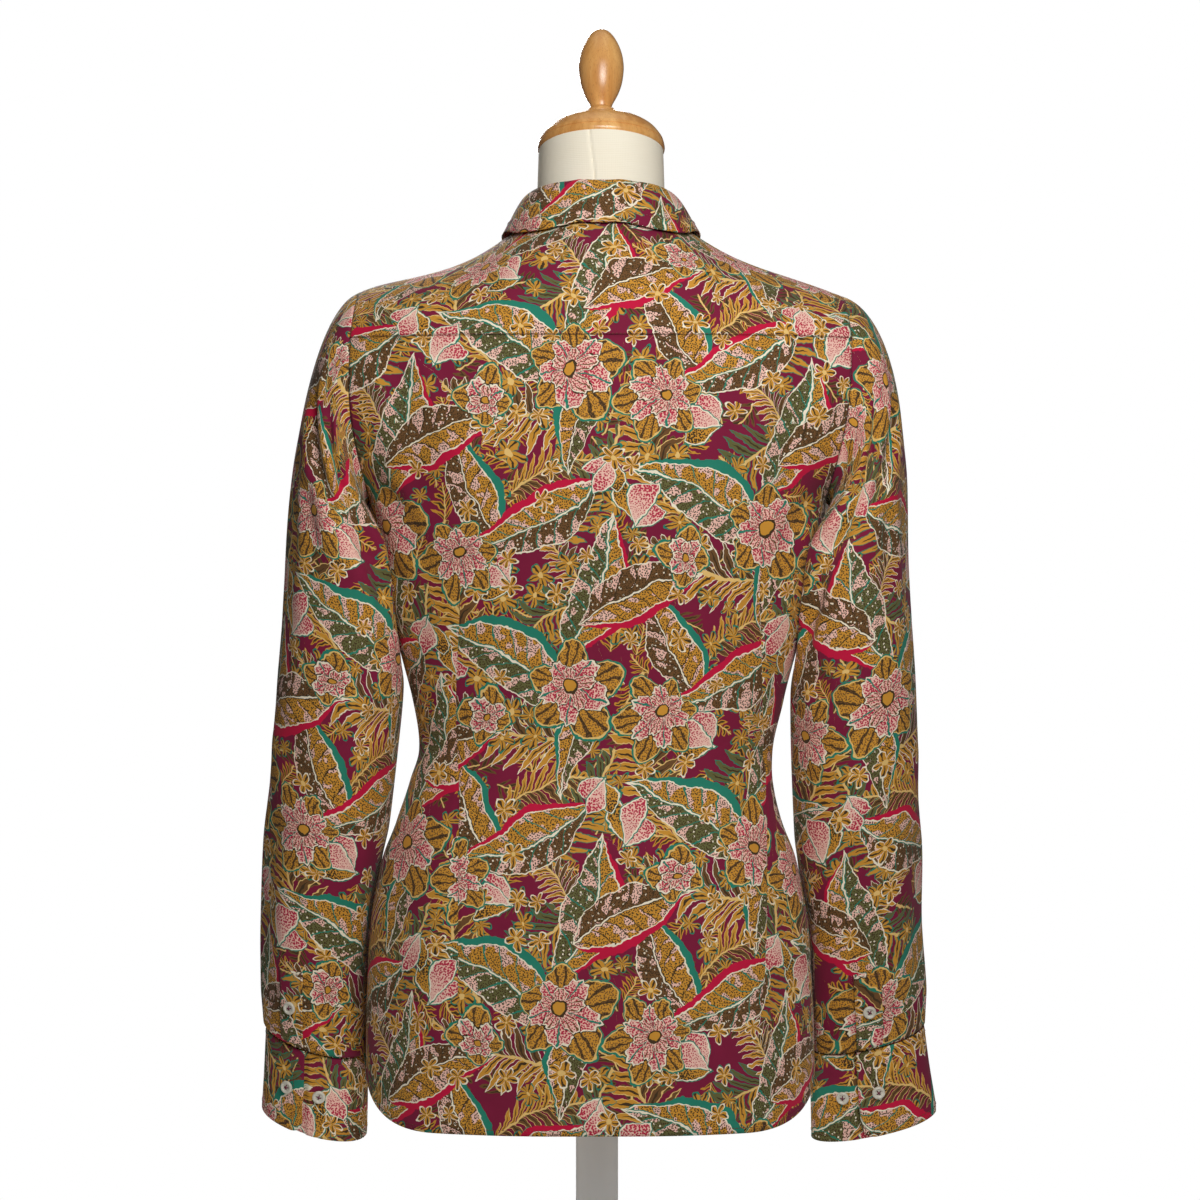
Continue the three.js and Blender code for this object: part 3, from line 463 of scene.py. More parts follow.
def mesh_object(name, node, material, points, faces, uvs=None, sharp=None):
    """A smooth piece at the origin that stands for a node, with edges sharper than an angle kept sharp.

    Its material has the name of its slot in the record, which Blender may have numbered.
    """
    mesh = bpy.data.meshes.new(name)
    mesh.from_pydata((np.asarray(points) * MM).tolist(), [], [list(map(int, f)) for f in faces])
    if uvs is not None:
        mesh.uv_layers.new(name="cut").data.foreach_set("uv", np.asarray(uvs, np.float32).ravel())
    mesh.validate()
    mesh.polygons.foreach_set("use_smooth", [True] * len(mesh.polygons))
    mesh.materials.append(material)
    if sharp:
        mesh.set_sharp_from_angle(angle=math.radians(sharp))
    made = new_object(name, mesh)
    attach(made, "root")
    if node:
        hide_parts(node)
    return made


def flat_cut(node, across, up):
    """UV coordinates in metres of cloth."""
    start = CUT_FROM[node]
    return np.stack(np.broadcast_arrays(across + start[0], up + start[1]), -1) * MM


def cloth(node, grid, across, up, inside, closed=False, before=None, name=None):
    """A thin shell whose outer face is the grid, with the print of its own cut.

    across and up are each point's place in the flat cut, with one column more than the grid where a row is
    closed. Where a dart takes cloth away, before gives each column's place as the end of the span before it,
    and across its place as the start of the next.
    """
    rows, cols = grid.shape[:2]
    spans = cols if closed else cols - 1
    uv = flat_cut(node, across, up)
    uv_before = uv if before is None else flat_cut(node, before, up)
    normals = normals_of(grid, inside, closed)
    points = np.concatenate([grid.reshape(-1, 3), (grid - normals * THICKNESS).reshape(-1, 3)])
    count = rows * cols
    i, j = np.meshgrid(np.arange(rows - 1), np.arange(spans), indexing="ij")
    i, j = i.ravel(), j.ravel()
    a, b = i * cols + j, i * cols + (j + 1) % cols
    uv_a, uv_b, uv_c, uv_d = uv[i, j], uv_before[i, j + 1], uv_before[i + 1, j + 1], uv[i + 1, j]
    quads = [np.stack([a, b, b + cols, a + cols], 1)]
    quads.append(np.stack([a + count, a + cols + count, b + cols + count, b + count], 1))
    uvs = [np.stack([uv_a, uv_b, uv_c, uv_d], 1), np.stack([uv_a, uv_d, uv_c, uv_b], 1)]

    def add_rim(corners, corner_uvs, order):
        quads.append(np.stack(corners, 1)[:, ::order])
        uvs.append(np.stack(corner_uvs, 1)[:, ::order])

    j = np.arange(spans)
    for row, order in ((0, 1), (rows - 1, -1)):
        a, b = row * cols + j, row * cols + (j + 1) % cols
        uv_a, uv_b = uv[row, j], uv_before[row, j + 1]
        add_rim((a + count, b + count, b, a), (uv_a, uv_b, uv_b, uv_a), order)
    if not closed:
        i = np.arange(rows - 1)
        for col, order in ((0, 1), (cols - 1, -1)):
            a, b = i * cols + col, (i + 1) * cols + col
            uv_a, uv_b = uv[i, col], uv[i + 1, col]
            add_rim((a + count, a, b, b + count), (uv_a, uv_a, uv_b, uv_b), order)
    quads, uvs = np.concatenate(quads), np.concatenate(uvs)
    middle = grid[rows // 2, cols // 2]
    span = np.cross(grid[rows // 2, cols // 2 + 1] - middle, grid[rows // 2 + 1, cols // 2] - middle)
    if np.dot(span, normals[rows // 2, cols // 2]) < 0:
        quads, uvs = quads[:, ::-1], uvs[:, ::-1]
    return mesh_object(name or f"printed_{node}", node, PRINT, points, quads, uvs)


# ---- materials ----
def colour(red, green, blue):
    """A linear colour from display values of 0 to 255."""
    values = [v / 255 for v in (red, green, blue)]
    return tuple(v / 12.92 if v <= 0.04045 else ((v + 0.055) / 1.055) ** 2.4 for v in values) + (1.0,)


INK = {
    "wine": colour(130, 22, 58),
    "mustard": colour(212, 150, 52),
    "straw": colour(240, 200, 122),
    "olive": colour(70, 52, 28),
    "moss": colour(114, 78, 42),
    "sage": colour(104, 102, 58),
    "pink": colour(248, 200, 182),
    "rose": colour(196, 48, 74),
    "cream": colour(252, 240, 214),
    "crimson": colour(204, 14, 62),
    "teal": colour(38, 132, 108),
}


def add_node(tree, kind, inputs=(), **settings):
    """Adds a node to a tree, joins the wires and sockets among its inputs, and sets the other values."""
    made = tree.nodes.new(kind)
    for key, value in settings.items():
        setattr(made, key, value)
    for key, value in dict(inputs).items():
        value = value.socket if isinstance(value, Wire) else value
        if isinstance(value, bpy.types.NodeSocket):
            tree.links.new(value, made.inputs[key])
        else:
            made.inputs[key].default_value = value
    return made


class Wire:
    """What one output of a node carries. Arithmetic and comparisons with it add nodes to the same tree."""

    def __init__(self, socket):
        self.socket = socket

    def __add__(self, other):
        return reckon("ADD", self, other)

    def __sub__(self, other):
        return reckon("SUBTRACT", self, other)

    def __rsub__(self, other):
        return reckon("SUBTRACT", other, self)

    def __mul__(self, other):
        return reckon("MULTIPLY", self, other)

    def __truediv__(self, other):
        return reckon("DIVIDE", self, other)

    def __abs__(self):
        return reckon("ABSOLUTE", self)

    def __gt__(self, other):
        return reckon("GREATER_THAN", self, other)

    def __lt__(self, other):
        return reckon("LESS_THAN", self, other)


def tree_of(values):
    return next(value.socket.id_data for value in values if isinstance(value, Wire))


def reckon(operation, *values):
    made = add_node(tree_of(values), "ShaderNodeMath", enumerate(values), operation=operation)
    return Wire(made.outputs[0])


def scaled(value, by, plus):
    """value times by, plus plus, in one node."""
    return reckon("MULTIPLY_ADD", value, by, plus)


def vector(operation, *values):
    made = add_node(tree_of(values), "ShaderNodeVectorMath", enumerate(values), operation=operation)
    return Wire(made.outputs["Value" if operation in ("DOT_PRODUCT", "LENGTH") else "Vector"])


def split(wire):
    """The x, y and z of a vector, or the red, green and blue of a colour."""
    kind = "ShaderNodeSeparateColor" if wire.socket.type == "RGBA" else "ShaderNodeSeparateXYZ"
    return [Wire(socket) for socket in add_node(wire.socket.id_data, kind, {0: wire}).outputs]


def noise(at, scale, detail, output="Fac", distortion=0, flat=False):
    inputs = {"Vector": at, "Scale": scale, "Detail": detail, "Distortion": distortion}
    kept = {"noise_dimensions": "2D"} if flat else {}
    return Wire(add_node(at.socket.id_data, "ShaderNodeTexNoise", inputs, **kept).outputs[output])


def cells(at, scale, randomness=1):
    """The nearest of a scatter of points on flat cloth: its distance, its place and its random colour."""
    inputs = {"Vector": at, "Scale": scale, "Randomness": randomness}
    made = add_node(at.socket.id_data, "ShaderNodeTexVoronoi", inputs, voronoi_dimensions="2D")
    return [Wire(made.outputs[name]) for name in ("Distance", "Position", "Color")]


def coated(under, *coats):
    """A colour or ink with others laid over it in turn, each where its own mask is 1."""
    for mask, over in coats:
        inputs = {0: mask, 6: INK[under] if under in INK else under, 7: INK[over] if over in INK else over}
        under = Wire(add_node(mask.socket.id_data, "ShaderNodeMix", inputs, data_type="RGBA").outputs[2])
    return under


def edged(under, inset, *coats):
    """A shape laid over what is under it, from its outline in: each coat starts at its own depth."""
    return coated(under, *((inset > depth, over) for depth, over in coats))


def new_material(name, coordinates="Object"):
    """A material, and the wire that carries where on the object or on the flat cut a point is."""
    material = bpy.data.materials.new(name)
    material.use_nodes = True
    material.node_tree.nodes.clear()
    if coordinates == "Object":
        return material, Wire(add_node(material.node_tree, "ShaderNodeTexCoord").outputs["Object"])
    return material, Wire(add_node(material.node_tree, "ShaderNodeUVMap", uv_map=coordinates).outputs[0])


def finished(material, base, roughness, relief=None, constants=()):
    """Joins colour, roughness and relief to a shader, and sets what is the same all over it.

    relief is the wire of its height, its strength and its depth in metres.
    """
    tree = material.node_tree
    inputs = {"Base Color": base, "Roughness": roughness, **dict(constants)}
    if relief:
        bump = dict(zip(("Height", "Strength", "Distance"), relief))
        inputs["Normal"] = add_node(tree, "ShaderNodeBump", bump).outputs[0]
    shader = add_node(tree, "ShaderNodeBsdfPrincipled", inputs)
    add_node(tree, "ShaderNodeOutputMaterial", {"Surface": shader.outputs[0]})
    return material


# ---- the printed pattern ----
# Every motif recurs once in a column's width and repeat, each column half a repeat lower than the
# last. Places and sizes are in metres of cloth, turns in degrees.
COLUMN = 0.15
REPEAT = 0.236
# A fern's inks are those of its two sides and its edge.
FERNS = table(
    "x y turn length bend inks",
    (0.128, 0.118, 74, 0.13, 0.5, ("mustard", "moss", "straw")),
    (0.024, 0.196, 128, 0.118, -0.5, ("sage", "mustard", "teal")),
    (0.076, 0.022, 12, 0.122, 0.46, ("mustard", "moss", "cream")),
    (0.052, 0.108, -38, 0.104, -0.44, ("mustard", "sage", "teal")),
    (0.051, 0.22, 158, 0.078, 0.5, ("mustard", "moss", "straw")),
    (0.034, 0.148, 52, 0.07, -0.4, ("mustard", "moss", "cream")),
)
# fat is half a leaf's width as a share of its length. Its inks are its margin's, veins' and shaded half's.
LEAVES = table(
    "x y turn length fat bend inks",
    (0.112, 0.208, 66, 0.098, 0.17, 0.34, ("teal", "olive", "moss")),
    (0.012, 0.13, 108, 0.112, 0.17, -0.36, ("crimson", "teal", "sage")),
    (0.134, 0.012, 158, 0.1, 0.18, 0.3, ("crimson", "olive", "moss")),
    (0.084, 0.082, 30, 0.118, 0.18, -0.32, ("teal", "teal", "sage")),
    (0.06, 0.176, -24, 0.108, 0.17, 0.38, ("crimson", "teal", "moss")),
    (0.03, 0.018, -70, 0.082, 0.16, -0.4, ("teal", "olive", "sage")),
)
BUDS = table(
    "x y turn length bend",
    (0.142, 0.062, 118, 0.036, 0.5),
    (0.074, 0.134, 20, 0.034, -0.5),
    (0.002, 0.226, -64, 0.03, 0.4),
)
# A bud's petals: how far each is turned from the bud's axis, its share of the length, its ink and its dots'.
BUD_PETALS = ((-38, 0.86, "mustard", "olive"), (38, 0.86, "pink", "rose"), (0, 1, "pink", "rose"))
BLOSSOMS = table(
    "x y radius petals turn lean",
    (0.036, 0.058, 0.0315, 5, 0.2, 0.6),
    (0.116, 0.156, 0.0275, 6, 0.65, 2.4),
    (0.098, 0.034, 0.018, 4, 0.4, 4.1),
)
FLORETS = table(
    "scale radius petals missing inks",
    (38, 0.0112, 5, 0.3, ("mustard", "olive", "teal")),
    (31, 0.0104, 5, 0.5, ("mustard", "olive", "cream")),
)


def in_motif(cut, place):
    """Cloth coordinates measured from the nearest copy of a motif."""
    x, y, _ = split(vector("SUBTRACT", cut, (place["x"], place["y"], 0)))
    column = reckon("ROUND", x / COLUMN)
    lower = scaled(column, -REPEAT / 2, y)
    joined = Wire(add_node(x.socket.id_data, "ShaderNodeCombineXYZ", {0: x, 1: lower}).outputs[0])
    return vector("WRAP", joined, (COLUMN / 2, REPEAT / 2, 0), (-COLUMN / 2, -REPEAT / 2, 0))


def scattered(cut, scale):
    """Coordinates from the nearest of a scatter of points, and three random values of that point."""
    _, place, random = cells(cut, scale, 0.75)
    return vector("SUBTRACT", cut, place), split(random)


def along_motif(local, spec):
    """Distances along and across a curved motif, both in its own lengths, and the first one squared."""
    c = math.cos(math.radians(spec["turn"])) / spec["length"]
    s = math.sin(math.radians(spec["turn"])) / spec["length"]
    along, across = vector("DOT_PRODUCT", local, (c, s, 0)), vector("DOT_PRODUCT", local, (-s, c, 0))
    square = along * along
    return along, scaled(square, -spec["bend"], across), square


def printed_leaf(cut, marks, under, spec):
    """A pointed leaf: patches of stipple in two tones, fine veins, a cream edge and a band on one margin."""
    along, across, square = along_motif(in_motif(cut, spec), spec)
    reach = abs(across)
    upper = across > 0
    half = scaled(square, -4 * spec["fat"], spec["fat"]) * scaled(along, -0.8, 1)
    inset = half - reach
    vein = reckon("FRACT", scaled(reckon("SQRT", reach), -3.4, along * 8))
    patch = scaled(vein, 0.3, scaled(reach, 0.9, marks["patch"]))
    margin, veins, darker = spec["inks"]
    face = coated(
        darker,
        (upper, "mustard"),
        (marks["beads"] * (across < 0), "cream"),
        (patch > 0.83, "pink"),
        (marks["stipple"], "olive"),
        (reckon("MAXIMUM", vein < 0.08, reach < 0.011), veins),
        (reach < 0.0055, "cream"),
    )
    return edged(under, inset, (upper * half * -0.3, margin), (0, "cream"), (0.0085, face))


def leaflets(along, reach, pitch, sweep, length, fullest, taper):
    """How far a point is inside the leaflets that stand side by side along a rib."""
    wave = reckon("PINGPONG", scaled(*sweep, along), pitch / 2)
    fill = reach / length
    return scaled(reckon("POWER", fill, 3), -taper * pitch, fullest * pitch) - wave


def printed_fern(cut, marks, under, spec):
    """A curved frond: a rib with narrow leaflets on either side, each with a darker middle."""
    along, across, square = along_motif(in_motif(cut, spec), spec)
    reach = abs(across)
    length = scaled(square, -0.9, 0.24)
    sweep = (reckon("SQRT", reach), -0.34)
    inset = leaflets(along, reach, 0.085, sweep, reckon("MAXIMUM", length, 0.001), 0.37, 0.4)
    rib = (reach < 0.009) * (length > 0.02)
    left, right, edge = spec["inks"]
    face = coated(left, (across > 0, right), (inset > 0.024, "olive"))
    return coated(edged(under, inset, (0, edge), (0.005, face)), (rib, "straw"))


def printed_bud(cut, marks, under, spec):
    """A half-open flower from the side: two olive petals behind a pink one."""
    for sweep, size, ink, dotted in BUD_PETALS:
        turn = math.radians(spec["turn"] + sweep)
        length = spec["length"] * size
        middle = {"x": spec["x"] + math.cos(turn) * length / 2, "y": spec["y"] + math.sin(turn) * length / 2}
        petal = {**middle, "turn": math.degrees(turn), "length": length, "bend": spec["bend"]}
        along, across, square = along_motif(in_motif(cut, petal), petal)
        half = scaled(square, -1.04, 0.26) * reckon("MAXIMUM", scaled(along, 0.9, 1), 0.1)
        inset = half - abs(across)
        face = coated(ink, (marks["dots"] < scaled(along, 0.5, 0.34), dotted))
        under = edged(under, inset, (-0.025, "teal"), (0, "cream"), (0.035, face))
    return under


def petal_fold(local, petals, turn):
    """How far an angle is from the middle of its petal, from 0 to 0.5, the turns counted and the angle."""
    x, y, _ = split(local)
    angle = reckon("ARCTAN2", y, x)
    counted = angle * (petals / (2 * math.pi)) + turn
    return reckon("PINGPONG", counted + petals, 0.5), counted, angle


def printed_blossom(cut, marks, under, spec):
    """An open, lopsided blossom: olive petals behind, ruffled pink ones, and a hatched heart."""
    size = spec["radius"]
    local = in_motif(cut, spec)
    fold, counted, angle = petal_fold(local, spec["petals"], spec["turn"])
    lean = reckon("COSINE", angle - spec["lean"])
    far = vector("LENGTH", local) * scaled(lean, 0.2, 1)
    hatch = reckon("PINGPONG", counted * 5, 0.5)
    turned = 0.5 - fold

    def petals(fold, reach, notch, ruffle=0.05):
        return scaled(hatch, -ruffle * size, scaled(fold * fold, -notch * size, reach * size)) - far

    behind = petals(reckon("POWER", turned, 0.6) * 0.62, 1.2, 2.8)
    middle = petals(fold, 0.86, 1.7, 0.14)
    heart = petals(turned, 0.56, 1.5, 0.1)
    olive = coated("mustard", (hatch < 0.14, "olive"), (marks["stipple"], "moss"))
    rosy = marks["dots"] < scaled(far, -0.5 / size, 0.72)
    pink = coated("pink", (rosy, "rose"), (fold < 0.025, "teal"))
    hatched = coated("pink", (marks["dots"] < 0.34, "rose"), (hatch < 0.12, "moss"))
    out = edged(under, behind, (-0.0014, "teal"), (0, "straw"), (0.0011, olive))
    out = edged(out, middle, (-0.0007, "olive"), (0, "cream"), (0.0012, pink))
    out = edged(out, heart, (-0.0009, "olive"), (0, "cream"), (0.0009, hatched))
    return coated(out, (far < 0.17 * size, "olive"), (far < 0.12 * size, "mustard"))


def printed_floret(cut, marks, under, spec):
    """Small flowers scattered between the leaves, some left out."""
    size = spec["radius"]
    local, random = scattered(cut, spec["scale"])
    fold = petal_fold(local, spec["petals"], 0.3)[0]
    far = vector("LENGTH", local) + random[0] * (0.3 * size)
    shown = random[1] > spec["missing"]
    inset = scaled(fold * fold, -2.6 * size, size) * shown - far
    petal, line, edge = spec["inks"]
    face = coated(petal, (fold < 0.08, line))
    heart = (far < 0.24 * size) * shown
    return coated(edged(under, inset, (0, edge), (0.0011, face)), (heart, "straw"))


def printed_sprigs(cut, under):
    """Small leafy sprigs that fill the ground, each turned its own way."""
    local, random = scattered(cut, 47)
    turn = random[0] * (2 * math.pi)
    c, s = reckon("COSINE", turn), reckon("SINE", turn)
    x, y, _ = split(local)
    along, across = x * c + y * s, y * c - x * s
    reach = abs(across)
    length = scaled(along * along, -64, 0.0108)
    inset = leaflets(along, reach, 0.0056, (reach, -0.8), reckon("MAXIMUM", length, 0.0001), 0.42, 0.46)
    face = coated("moss", (random[1] > 0.5, "mustard"))
    rib = (reach < 0.0006) * (length > 0.001)
    sprigs = edged(under, inset, (0.0003, face), (0.0014, "olive"))
    return coated(sprigs, (rib, "straw"), (random[2] < 0.35, under))


def printed_cotton():
    """Plain-weave cotton with the print in its weave, on each piece's own flat cut."""
    material, cut = new_material("printed_cotton", "cut")
    slow = noise(cut, 34, 1, "Color", flat=True)
    quick = noise(cut, 210, 1, "Color", flat=True)
    drawn = vector("MULTIPLY_ADD", slow, (0.01, 0.01, 0), cut)
    drawn = vector("MULTIPLY_ADD", quick, (0.0024, 0.0024, 0), drawn)
    dots = cells(cut, 640)[0]
    marks = {
        "dots": dots,
        "stipple": dots < 0.32,
        "beads": cells(cut, 210)[0] < 0.15,
        "patch": noise(cut, 88, 1, flat=True),
    }
    layers = (
        (printed_fern, FERNS),
        (printed_floret, FLORETS[:1]),
        (printed_leaf, LEAVES),
        (printed_bud, BUDS),
        (printed_floret, FLORETS[1:]),
        (printed_blossom, BLOSSOMS),
    )
    ink = printed_sprigs(drawn, "wine")
    for motif, specs in layers:
        for spec in specs:
            ink = motif(drawn, marks, ink, spec)
    worn = scaled(noise(cut, 60, 3), 0.24, 0.79)
    multiply = {"data_type": "RGBA", "blend_type": "MULTIPLY"}
    toned = add_node(material.node_tree, "ShaderNodeMix", {0: 1, 6: ink, 7: worn}, **multiply).outputs[2]
    x, y, _ = split(vector("SINE", vector("MULTIPLY", cut, (7850, 7850, 0))))
    weave = x * y
    constants = {"Specular IOR Level": 0.25, "Sheen Weight": 0.06}
    return finished(material, toned, scaled(weave, 0.05, 0.84), (weave, 0.12, 0.0003), constants)


def linen():
    """Tightly stretched cream linen, its threads a little uneven."""
    material, place = new_material("form_linen")
    slubs = noise(vector("MULTIPLY", place, (60, 60, 900)), 1, 3)
    tone = scaled(slubs, 0.3, noise(place, 34, 4) * 0.5)
    base = coated(colour(244, 233, 208), (tone, colour(253, 247, 230)))
    x, y, z = split(vector("SINE", vector("MULTIPLY", place, (5200, 5200, 4600))))
    relief = scaled(x * y + z, 0.4, slubs)
    constants = {"Specular IOR Level": 0.2}
    return finished(material, base, scaled(slubs, 0.1, 0.82), (relief, 0.15, 0.0004), constants)


def varnished_beech():
    """Turned beech under clear varnish: grain lines along the axis and the short dark flecks of the wood."""
    material, place = new_material("form_wood")
    grain = noise(vector("MULTIPLY", place, (95, 95, 9)), 1, 5, distortion=0.6)
    flecks = noise(vector("MULTIPLY", place, (1500, 1500, 190)), 1, 1) > 0.63
    spread = {0: grain, 1: 0.32, 2: 0.7, 3: 0, 4: 1}
    tone = Wire(add_node(material.node_tree, "ShaderNodeMapRange", spread).outputs[0])
    base = coated(colour(204, 138, 68), (tone, colour(240, 184, 110)), (flecks * 0.35, colour(160, 96, 44)))
    varnish = {"Coat Weight": 0.5, "Coat Roughness": 0.26}
    return finished(material, base, scaled(grain, 0.08, 0.3), (grain, 0.06, 0.0003), varnish)


def pearl():
    """Polished shell-like buttons, greyish white with faint cloudy bands."""
    material, place = new_material("pearl_button")
    clouds = noise(place, 190, 2, distortion=1.4)
    base = coated(colour(188, 180, 160), (clouds, colour(232, 228, 214)))
    return finished(material, base, scaled(clouds, 0.12, 0.22))


def thread(name, red, green, blue):
    """Twisted sewing thread."""
    material, place = new_material(name)
    twist = noise(place, 2600, 1)
    light = colour(red, green, blue)
    dark = tuple(0.55 * v for v in light[:3]) + (1.0,)
    return finished(material, coated(dark, (twist, light)), scaled(twist, 0.2, 0.55))


def stand_paint():
    """Off-white powder coat with its fine orange-peel skin."""
    material, place = new_material("stand_paint")
    peel = noise(place, 620, 2)
    base = coated(colour(246, 245, 242), (noise(place, 9, 4), colour(252, 252, 250)))
    return finished(material, base, scaled(peel, 0.15, 0.32), (peel, 0.12, 0.0004))


def studio_floor():
    """Pale matt floor, faintly scuffed."""
    material, place = new_material("studio_floor")
    scuffs = noise(place, 14, 3)
    base = coated(colour(238, 238, 237), (scuffs, colour(244, 244, 243)))
    return finished(material, base, scaled(scuffs, 0.1, 0.7))


PRINT = printed_cotton()
LINEN = linen()
BEECH = varnished_beech()
PEARL = pearl()
SEWING = thread("sewing_thread", 128, 74, 56)
BUTTON_THREAD = thread("button_thread", 120, 34, 62)
PAINT = stand_paint()

# ---- creases, placed one by one ----
# x and z are where each trough starts and to_x and to_z where it ends: x runs across the cloth from the
# middle of the piece. bow bends it sideways, fade is how much of its depth is left at its end.
CREASE = "x z to_x to_z bow width depth fade"
BACK_CREASES = table(
    CREASE,
    (158, 742, 136, 640, 6, 11, 2.6, 0.5),
    (-160, 738, -140, 628, -7, 12, 2.8, 0.4),
    (174, 646, 126, 566, 5, 8, 3.4, 0.2),
    (-176, 638, -130, 552, -6, 9, 3.4, 0.25),
    (172, 590, 132, 520, 4, 9, 1.5, 0.3),
    (148, 448, 96, 462, -4, 8, 1.8, 0.2),
    (-150, 440, -104, 456, 4, 8, 1.9, 0.2),
    (150, 420, 110, 410, 3, 7, 1.3, 0.3),
    (-148, 412, -112, 398, -3, 8, 1.4, 0.3),
    (-30, 470, 48, 458, 5, 13, 1.0, 0.5),
    (40, 432, -56, 440, -4, 11, 0.9, 0.6),
    (66, 400, 84, 196, 7, 22, 2.2, 1.0),
    (-70, 392, -88, 190, -8, 24, 2.4, 1.0),
    (6, 380, -6, 170, 5, 26, 1.4, 1.0),
    (150, 372, 148, 226, -5, 18, 1.8, 0.9),
    (-152, 366, -146, 220, 6, 17, 1.7, 0.9),
    (-22, 742, -44, 640, 6, 20, 0.9, 0.4),
    (50, 744, 64, 660, -5, 18, 0.9, 0.4),
)
# On each front x runs from the centre line out to the side.
FRONT_CREASES = table(
    CREASE,
    (150, 738, 128, 650, 6, 11, 2.4, 0.4),
    (176, 628, 108, 606, 5, 11, 2.6, 0.3),
    (170, 596, 118, 560, -5, 10, 1.8, 0.3),
    (60, 560, 34, 490, 4, 14, 1.4, 0.4),
    (148, 446, 92, 460, -4, 8, 1.9, 0.2),
    (146, 420, 104, 410, 4, 8, 1.4, 0.3),
    (54, 400, 62, 190, 6, 22, 2.0, 1.0),
    (118, 380, 124, 196, -6, 20, 1.9, 1.0),
    (40, 700, 72, 650, 5, 13, 1.1, 0.4),
)
# Round a sleeve x is millimetres from the outermost line, positive towards the front.
SLEEVE_CREASES = {
    "left": table(
        CREASE,
        (-48, 716, -104, 592, -6, 7.5, 6.0, 0.6),
        (-54, 650, -62, 556, 3, 7.5, 4.4, 0.4),
        (-90, 694, -124, 560, -6, 7, 6.0, 1.0),
        (-24, 690, -40, 500, 8, 15, 2.4, 0.5),
        (-78, 600, -58, 440, 7, 14, 2.8, 0.6),
        (-116, 520, -62, 462, 5, 9, 2.6, 0.3),
        (-122, 470, -70, 430, -5, 9, 2.4, 0.3),
        (-30, 470, -64, 400, 5, 11, 1.8, 0.4),
        (-34, 400, -22, 262, -5, 13, 2.6, 1.0),
        (-86, 380, -74, 282, 5, 12, 2.2, 0.9),
        (40, 690, 46, 540, 7, 14, 2.4, 0.5),
        (90, 650, 72, 520, -8, 13, 2.8, 0.4),
        (112, 490, 52, 450, 5, 9, 2.4, 0.3),
        (104, 446, 48, 420, -4, 9, 2.0, 0.3),
        (34, 400, 30, 256, 6, 13, 2.2, 1.0),
        (6, 560, 0, 420, -6, 16, 1.3, 0.6),
    ),
    "right": table(
        CREASE,
        (-44, 712, -98, 600, -7, 8, 5.8, 0.6),
        (-60, 640, -56, 548, -4, 7.5, 4.0, 0.4),
        (-86, 700, -130, 532, -9, 7, 6.0, 1.0),
        (-20, 680, -34, 512, 7, 16, 2.2, 0.5),
        (-74, 610, -62, 452, 8, 14, 2.9, 0.5),
        (-120, 506, -66, 452, 6, 9, 2.5, 0.3),
        (-118, 456, -60, 424, -5, 10, 2.3, 0.3),
        (-26, 458, -56, 384, 5, 12, 1.9, 0.4),
        (-28, 392, -20, 258, -6, 14, 2.4, 1.0),
        (-80, 372, -70, 284, 5, 12, 2.1, 0.9),
        (44, 684, 48, 530, 7, 15, 2.4, 0.5),
        (94, 640, 74, 512, -7, 13, 2.6, 0.4),
        (116, 482, 56, 446, 5, 10, 2.4, 0.3),
        (38, 392, 32, 258, 6, 13, 2.0, 1.0),
        (8, 548, 2, 410, -5, 16, 1.4, 0.6),
    ),
}
# Where each piece was cut from the printed cloth, in millimetres.
CUT_FROM = {
    "back": (8, 30),
    "yoke": (8, 784),
    "front_left": (40, 12),
    "front_right": (96, 130),
    "front_band": (20, 64),
    "collar_stand": (110, 44),
    "collar_leaf": (48, 150),
    "sleeve_left": (22, 96),
    "sleeve_right": (88, 20),
    "cuff_left": (70, 60),
    "cuff_right": (12, 180),
    "sleeve_placket_left": (30, 110),
    "sleeve_placket_right": (104, 70),
}
stitch_lines = []


def stitches(grid, normals, rows, cols):
    """Keeps a line of topstitching along a run of a grid's points."""
    stitch_lines.append(grid[rows, cols] + normals[rows, cols] * STITCH_HEIGHT)


def levels_up(count_low, count_high):
    """Heights of a panel's rows, closer together just above the underarm, where its edge turns quickly."""
    low = np.linspace(HEM["z"], UNDERARM_Z, count_low)
    high = UNDERARM_Z + (YOKE_Z - UNDERARM_Z) * np.linspace(0, 1, count_high) ** 2
    return np.concatenate([low, high[1:]])


LEVELS = levels_up(116, 44)[:, None]
SHARES = np.linspace(-1, 1, 161)
DART_SHARE = 0.6  # where the columns of the back's darts are


def dart_lines(side, hand):
    """The share at which a dart lies at each height."""
    column = ("back" if side is BACK else "front") + ("_left" if hand > 0 else "_right")
    x = curve(DART_LINE, "z", column)(LEVELS) - hand * body_shift(LEVELS)
    return share_at(side, LEVELS, x)


def evened(grid, share):
    """Evens out the turn of the surface at the underarm, away from the panel's edges."""
    away_from_edge = np.clip((0.97 - np.abs(share)) / 0.15, 0, 1)
    return smoothed(grid, away_from_edge * near(LEVELS, UNDERARM_Z + 8, 34), 60)


def hem_fold(grid, level):
    """The hem is folded up twice, so its last few millimetres stand out a little."""
    return HEM["stands_out"] * (1 - ease((level - HEM["z"] - HEM["fold"]) / 2)) * np.ones(grid.shape[:2])


def stitch_hem(grid, normals, levels):
    row = int(np.argmin(np.abs(levels[:, 0] - HEM["z"] - HEM["fold"])))
    stitches(grid, normals, row, slice(2, -2))


def dart_groove(grid, levels, *columns):
    """The line of a dart lies a little deeper where it takes cloth away."""
    groove = np.zeros(grid.shape[:2])
    for column in columns:
        groove[:, column] = -DART_DEPTH * ease(dart_intake(levels[:, 0]) / 8)
    return groove


